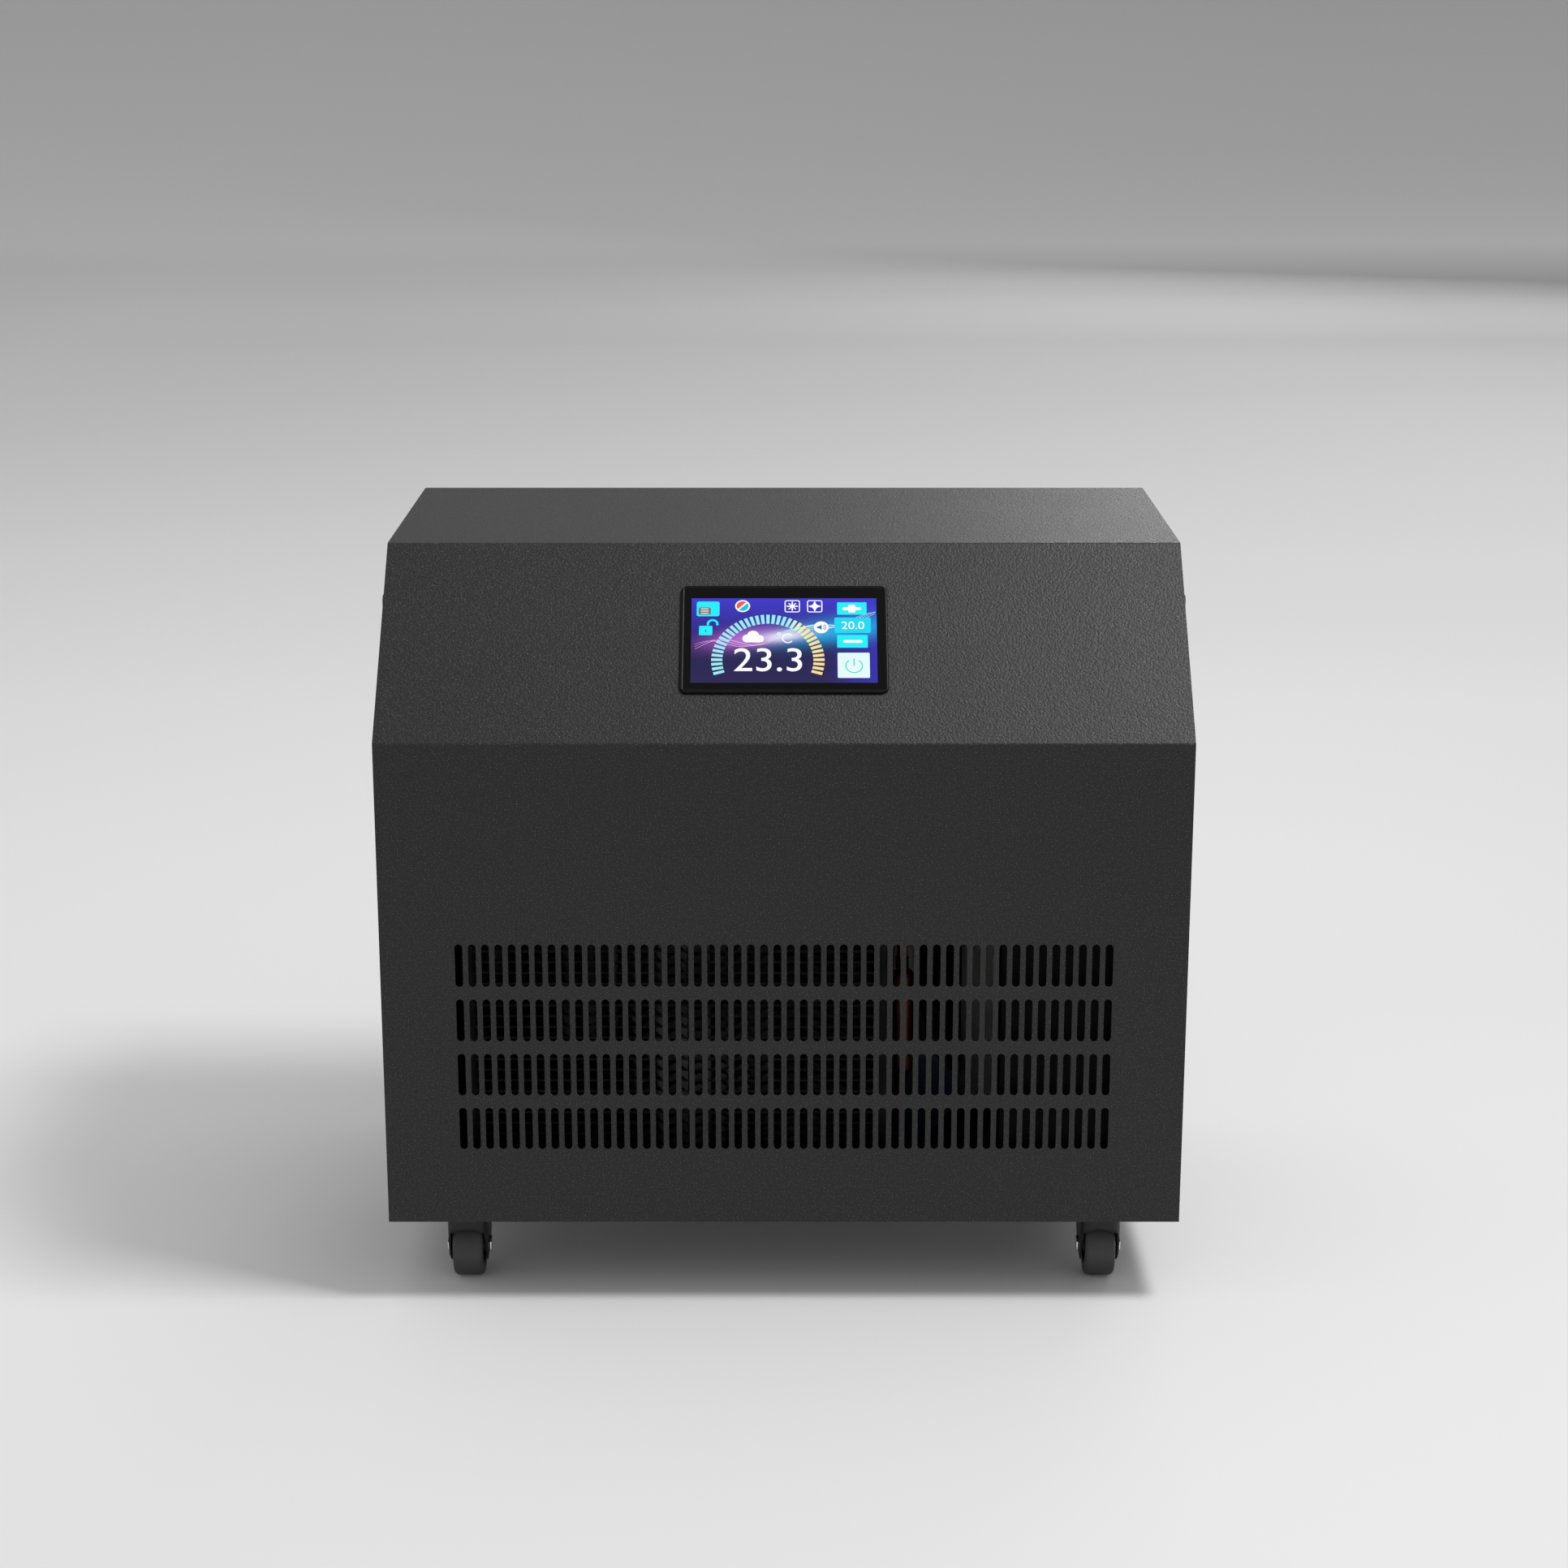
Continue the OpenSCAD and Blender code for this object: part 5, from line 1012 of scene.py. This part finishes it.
@dataclass
class Display:
    """The touch display in the control slope. Sizes are in millimetres, from the display's middle.

    Attributes:
        front: The cabinet's front face along Y.
        fold: Height of the slope's lower fold.
        rise: Height of the slope, which is also its depth.
        up: How far the display's middle lies above the slope's.
        bezel: Width, height and corner radius of the bezel.
        window: Width and height of the glass's opening.
        ledge: Width and height of the ledge below the glass.
        proud: How far the bezel stands out.
        seat: Height of the glass's seat.
        leaf: Thickness of a lit shape.
        squeeze: Height of a lit shape as a share of its drawn height.
        drop: How far the screen's lit area lies below the bezel's middle.
    """

    front: float = -223.25
    fold: float = 490.0
    rise: float = 140.0
    up: float = 1.5
    bezel: tuple[float, float, float] = (172.5, 105.5, 6.0)
    window: tuple[float, float] = (166.5, 99.5)
    ledge: tuple[float, float] = (160.5, 93.5)
    proud: float = 2.5
    seat: float = 1.1
    leaf: float = 0.02
    squeeze: float = 0.96
    drop: float = 1.7

    def on_slope(self, surface: Surface) -> Surface:
        """A surface drawn flat, laid on the slope: x across, y up the slope, z out of it."""
        c = math.sqrt(0.5)
        turn = np.array(((1, 0, 0), (0, c, -c), (0, c, c)))
        on = self.rise / 2 + self.up * c
        return surface.placed(turn, (0, self.front + on, self.fold + on))

    def lit(self, surface: Surface) -> Surface:
        """A lit shape drawn flat, squeezed to the screen's height and laid on the slope."""
        points = surface.points * (1.0, self.squeeze, 1.0) - (0.0, self.drop, 0.0)
        return self.on_slope(Surface(points, surface.faces))

    def frame_ring(self) -> Surface:
        """The bezel: rounded rectangles round its section, joined into a ring."""
        w, h, r = self.bezel
        a = np.linspace(0, np.pi / 2, 7)
        edge, bevel, corner = 1.2, 0.3, 0.1
        inset, back_r, back = 8, 2.5, -12.0
        rows = [(w - inset, h - inset, back_r, back), (w - inset, h - inset, back_r, 0.0),
                (w, h, r, 0.0), (w, h, r, self.proud - edge)]
        rows += [(w - 2 * edge * (1 - c), h - 2 * edge * (1 - c), r - edge * (1 - c),
                  self.proud - edge * (1 - s)) for c, s in zip(np.cos(a[1:]), np.sin(a[1:]))]
        win_w, win_h = self.window
        led_w, led_h = self.ledge
        rows += [(win_w + bevel, win_h + bevel, bevel, self.proud),
                 (win_w, win_h, corner, self.proud - corner), (win_w, win_h, corner, self.seat),
                 (led_w, led_h, corner, self.seat), (led_w, led_h, corner, back)]
        loops = np.stack([raised(rectangle(rw, rh, rr), z) for rw, rh, rr, z in rows])
        return self.on_slope(loft(loops, Ends.RING))

    def leaf_of(self, outline: Array, layer: Layer, at: tuple[float, float] = (0, 0)) -> Surface:
        """A thin lit shape of an outline at a place."""
        moved = np.asarray(outline, float) + np.asarray(at, float)
        return self.lit(plate(moved, layer.value, layer.value + self.leaf))

    def band(self, inner: float, outer: float, start: float, stop: float, at: tuple[float, float],
             layer: Layer, count: int = 32) -> Surface:
        """A lit band between two radii and two angles in degrees."""
        a = np.radians(np.linspace(start, stop, count + 1))
        arc = np.stack([np.cos(a), np.sin(a)], 1)
        return self.leaf_of(np.concatenate([outer * arc, inner * arc[::-1]]), layer, at)

    def bar(self, width: float, height: float, at: tuple[float, float], layer: Layer, degrees: float = 0.0,
            radius: float | None = None) -> Surface:
        """A lit bar with rounded ends, turned by an angle."""
        a = math.radians(degrees)
        turn = np.array(((math.cos(a), math.sin(a)), (-math.sin(a), math.cos(a))))
        r = min(width, height) / 2 * 0.98 if radius is None else radius
        return self.leaf_of(rectangle(width, height, r, 4) @ turn, layer, at)

    def ring(self, width: float, height: float, radius: float, line: float, at: tuple[float, float],
             layer: Layer) -> Surface:
        """A lit outline of a rounded rectangle, drawn as a closed frame of one line width."""
        outer = rectangle(width, height, radius) + np.asarray(at)
        inner = rectangle(width - 2 * line, height - 2 * line, max(radius - line, 0.2)) + np.asarray(at)
        low, high = layer.value, layer.value + self.leaf
        loops = np.stack([raised(outer, low), raised(outer, high), raised(inner, high), raised(inner, low)])
        return self.lit(loft(loops, Ends.RING))

    def words(self, text: str, width: float, height: float, at: tuple[float, float], layer: Layer) -> Surface:
        """Lit figures fitted into a box.

        Args:
            text: The figures.
            width: Width of the box that they fill.
            height: Height of the box.
            at: Middle of the box.
            layer: Height that they lie at.

        Returns:
            The figures' closed shapes, laid on the slope.
        """
        curve = bpy.data.curves.new("figures", "FONT")
        curve.body = text
        curve.extrude = 0.5
        curve.resolution_u = 6
        obj = linked("figures", curve)
        mesh = evaluated_mesh(obj)
        points = np.zeros(len(mesh.vertices) * 3)
        mesh.vertices.foreach_get("co", points)
        points = points.reshape(-1, 3)
        low, high = points.min(0), points.max(0)
        scale = np.array((width, height, self.leaf)) / (high - low)
        points = (points - (low + high) / 2) * scale + np.array((*at, layer.value + self.leaf / 2))
        by_size: dict[int, list[list[int]]] = {}
        for polygon in mesh.polygons:
            by_size.setdefault(len(polygon.vertices), []).append(list(polygon.vertices))
        bpy.data.objects.remove(obj)
        bpy.data.curves.remove(curve)
        bpy.data.meshes.remove(mesh)
        return self.lit(Surface(points, [np.array(f) for f in by_size.values()]))

    def gauge(self) -> Surface:
        """The gauge's bars: boxes of one width between two radii, turned about the gauge's middle."""
        count, spread, middle = 37, 106.8, (-13.3, -20.7)
        inner, outer, thin, wide = 37.6, 46.8, 1.25, 1.45
        bar = plate(np.array([(inner, -thin), (outer, -wide), (outer, wide), (inner, thin)]), 0.0, self.leaf)
        a = np.radians(90 + np.linspace(spread, -spread, count))
        shifts = np.broadcast_to(np.array((*middle, Layer.SYMBOL.value)), (count, 3))
        return self.lit(copies(bar, turns_about_z(a), shifts))

    def wave(self, ends: tuple[float, float], lean: float, height: float, swing: float, phase: float,
             width: float) -> Surface:
        """A thin lit line that waves along a leaning line and thins towards its ends.

        At x it is height + lean x + swing sin(2 pi x / L + phase) high, with L the length of a wave.

        Args:
            ends: Where it starts and stops across the screen.
            lean: Its rise for each millimetre across.
            height: Its height at the screen's middle.
            swing: Height of its waves.
            phase: Phase of its waves.
            width: Its greatest width.

        Returns:
            The line as a flat lit shape.
        """
        length, thin, swell = 66, 0.3, 0.7
        share = np.linspace(0, 1, 81)
        x = ends[0] + (ends[1] - ends[0]) * share
        line = np.stack([x, height + lean * x + swing * np.sin(2 * np.pi * x / length + phase)], 1)
        way = np.gradient(line, axis=0)
        across = np.stack([-way[:, 1], way[:, 0]], 1) / np.linalg.norm(way, axis=1)[:, None]
        half = width / 2 * (thin + swell * np.sin(np.pi * share))[:, None]
        edges = np.concatenate([line - half * across, (line + half * across)[::-1]])
        return self.leaf_of(edges, Layer.STREAK)

    def icons(self) -> None:
        """Makes the lit buttons, symbols and figures."""
        button, symbol, detail = Layer.BUTTON, Layer.SYMBOL, Layer.DETAIL
        snow_at, fan_at, mode_at, plus_at = (6.9, 34.9), (25.6, 34.9), (-34.5, 35.1), (56.5, 32.4)
        piece("screen_buttons", joined([
            self.bar(19.0, 15.2, (-63.2, 32.2), button, radius=1.8),
            self.bar(24.6, 12.8, (56.5, 32.6), button, radius=0.8),
            self.bar(25.4, 13.0, (56.7, -1.2), button, radius=0.8),
            self.bar(11.0, 9.6, (-65.0, 9.9), button, radius=0.9),
            self.band(3.0, 4.9, -20, 200, (-59.3, 16.6), button),
        ]), LIT_CYAN)
        piece("screen_set_value", self.bar(30.2, 15.8, (57.0, 15.4), button, radius=1.2), LIT_DEEP_CYAN)
        piece("screen_power_button", self.bar(26.5, 25.5, (57.5, -25.6), button, radius=1.0), LIT_PALE)
        piece("screen_power_symbol", joined([
            self.band(6.3, 7.3, -235, 55, (57.8, -26.2), symbol, 48),
            self.bar(1.1, 7.6, (57.8, -22.4), symbol),
        ]), LIT_TEAL)
        lobes = np.linspace(0, 2 * np.pi, 97)[:-1]
        fan = (3.8 + 1.2 * np.cos(4 * lobes + 0.9 * np.sin(4 * lobes)))[:, None]
        fan = fan * np.stack([np.cos(lobes), np.sin(lobes)], 1)
        horn = np.array([(-2.9, -1.0), (-1.3, -1.0), (0.8, -2.8), (0.8, 2.8), (-1.3, 1.0), (-2.9, 1.0)])
        snow = [self.bar(9.6, 1.2, snow_at, symbol, d) for d in (0, 90)]
        snow += [self.bar(8.8, 1.0, snow_at, symbol, d) for d in (45, 135)]
        cloud = [self.leaf_of(circle(r, 40), detail, at) for r, at in (
            (5.0, (-25.6, 4.6)), (3.9, (-30.6, 1.7)), (3.5, (-20.2, 1.6)))]
        cloud.append(self.bar(17.6, 6.4, (-25.4, 0.9), detail, radius=3.1))
        piece("screen_symbols", joined([
            *snow, *cloud,
            self.ring(12.8, 12.6, 2.0, 0.9, snow_at, symbol),
            self.ring(12.8, 12.6, 2.0, 0.9, fan_at, symbol),
            self.leaf_of(fan, symbol, fan_at),
            self.band(5.0, 6.2, 0, 359.9, mode_at, symbol, 64),
            self.bar(11.4, 1.3, mode_at, detail, 45),
            self.bar(15.6, 3.0, plus_at, symbol),
            self.bar(5.8, 8.0, plus_at, symbol, radius=1.2),
            self.bar(16.0, 2.8, (57.0, -1.3), symbol),
            self.leaf_of(circle(6.1, 48), symbol, (30.9, 13.2)),
            *[self.bar(6.6, 0.8, (-66.0, 27.6 + 2.3 * i), detail) for i in range(3)],
            self.band(0.9, 1.6, 0, 359.9, (-4.2, 6.6), detail, 24),
            self.band(3.9, 5.0, 40, 320, (3.2, 1.9), detail, 32),
        ]), LIT_WHITE)
        piece("screen_figures", joined([
            self.words("23.3", 56.2, 23.6, (-13.2, -20.0), detail),
            self.words("20.0", 18.8, 7.8, (57.2, 15.2), detail),
        ]), LIT_WHITE)
        piece("screen_gauge", self.gauge(), LIT_SCALE)
        piece("screen_menu_tab", self.bar(10.2, 7.6, (-66.0, 29.9), symbol, radius=1.6), LIT_GREY)
        piece("screen_heat_half", self.band(0.0, 4.9, 45, 225, mode_at, symbol), LIT_RED)
        piece("screen_cool_half", self.band(0.0, 4.9, 225, 405, mode_at, symbol), LIT_SKY)
        piece("screen_speaker", joined([
            self.leaf_of(horn, detail, (30.4, 13.2)),
            self.band(2.2, 2.7, -50, 50, (31.0, 13.2), detail, 12),
            self.band(3.5, 4.0, -50, 50, (31.0, 13.2), detail, 12),
            self.bar(0.8, 2.6, (-65.0, 9.6), symbol),
        ]), LIT_NAVY)
        piece("screen_streaks_rose", joined([
            self.wave((-74, 2), 0.14, 3.0, 5.0, phase, width)
            for phase, width in ((0.4, 0.7), (0.9, 0.5), (1.4, 0.45))]), LIT_ROSE)
        piece("screen_streaks_ice", joined([
            self.wave((-14, 76), 0.26, 6.0, 3.5, phase, width)
            for phase, width in ((-0.4, 0.8), (0.1, 0.6), (0.6, 0.7), (1.1, 0.5))]), LIT_ICE)

    def build(self) -> None:
        """Dresses the glass and the board and makes the bezel and what is lit."""
        piece("display_frame", self.frame_ring(), BEZEL_BLACK, replaces=("display_bezel",), sharp=40)
        middle = ((self.front + self.fold + self.rise) * math.sqrt(0.5) + self.up - self.drop) * MM
        dress(LitScreen("screen_glass", srgb(60, 56, 190), slope_start=middle), "display_glass")
        dress(LCD_CARD, "display_board")
        self.icons()


# ---------------------------------------------------------------- inside


@dataclass
class Inside:
    """The refrigerant and water pieces, and the control box."""

    def build(self) -> None:
        """Dresses the pieces inside the cabinet."""
        # The condenser's near-black finishes are painted shade for the inside of the cabinet.
        dress(CORE_SHADE_BLACK, "condenser_tubes")
        dress(FIN_SHADE_BLACK, "condenser_fins")
        dress(GUARD_BLACK, "fan_guard")
        dress(MOTOR_GREY, "fan_motor")
        dress(BLADE_BLACK, "fan_blade")
        dress(ENAMEL, "compressor_shell", "compressor_accumulator")
        dress(WINDING, "compressor_stator")
        dress(MACHINED, "compressor_rotor", "compressor_block")
        dress(FOOT_RUBBER, "compressor_feet")
        dress(VESSEL_WHITE, "heat_exchanger_shell")
        dress(TITANIUM, "heat_exchanger_coil")
        dress(COPPER, "filter_drier", "discharge_pipe", "liquid_pipe", "suction_pipe")
        dress(BRASS, "expansion_valve", "water_fittings", "drain_fitting")
        dress(PUMP_BLACK, "pump_housing")
        dress(IMPELLER_WHITE, "pump_impeller")
        dress(PUMP_BLUE, "pump_motor")
        dress(HOSE_WHITE, "inlet_hose", "pump_hose", "outlet_hose")
        dress(CAP_BLACK, "drain_cap")
        # The control box's near-black finish is painted shade.
        dress(BOX_SHADE_BLACK, "control_box", "control_box_lid")
        dress(LCD_CARD, "control_board")
        dress(INLET_BLACK, "power_inlet")


# ---------------------------------------------------------------- casters


@dataclass
class Casters:
    """The four swivel casters. Sizes are in millimetres.

    Attributes:
        swivel_x: Distance of a swivel from the part's middle.
        front_y: Place of the front swivels along Y.
        rear_y: Place of the rear swivels along Y.
        trail: How far the axle lies before its swivel.
        radius: Radius of the wheel.
        width: Width of the wheel.
        hub: Radius of the hub.
        shoulder: Radius of the tyre's shoulders.
    """

    swivel_x: float = 273.0
    front_y: float = -145.25
    rear_y: float = 120.75
    trail: float = 19.0
    radius: float = 27.0
    width: float = 26.0
    hub: float = 20.0
    shoulder: float = 6.0

    def tyre(self) -> Surface:
        """A tyre along X: a rectangle with rounded shoulders and a slight crown, turned about the axle."""
        half = self.width / 2
        dish, crown, edge, belly = 0.2, 0.25, 0.5, 40.0
        section = softened(np.array([
            (self.hub, -half + dish), (self.radius - crown, -half), (self.radius, 0.0),
            (self.radius - crown, half), (self.hub, half - dish)]),
            np.array([edge, self.shoulder, belly, self.shoulder, edge]), 8)
        return lathe(section, 96).placed(Axis.X.turn)

    def build(self) -> None:
        """Makes the rounded pieces of each caster and dresses the rest."""
        dress(CASTER_BLACK, "caster_plates")
        dress(BOLT_ZINC, "caster_bolts")
        for end, y in (("front", self.front_y), ("rear", self.rear_y)):
            for side, x in (("left", -self.swivel_x), ("right", self.swivel_x)):
                place = f"{end}_{side}"
                rounded_copy(f"{place}_hood", f"{place}_fork", FORK_BLACK, 1.2, f"{place}_caster")
                rounded_copy(f"{place}_axle_nuts", f"{place}_axle", CHROME, 0.5, f"{place}_caster")
                dress(HUB_DARK, f"{place}_hub")
                at = (x, y - self.trail, self.radius)
                piece(f"{place}_tread", self.tyre().placed(None, at), TREAD, f"{place}_wheel",
                      (f"{place}_tyre",), 40)


def main() -> None:
    """Builds the studio and the chiller's sub-assemblies in order."""
    logging.basicConfig(level=logging.INFO, format="%(name)s: %(message)s")
    for part in (Studio(), Cabinet(), Display(), Inside(), Casters()):
        part.build()


if __name__ == "__main__":
    main()
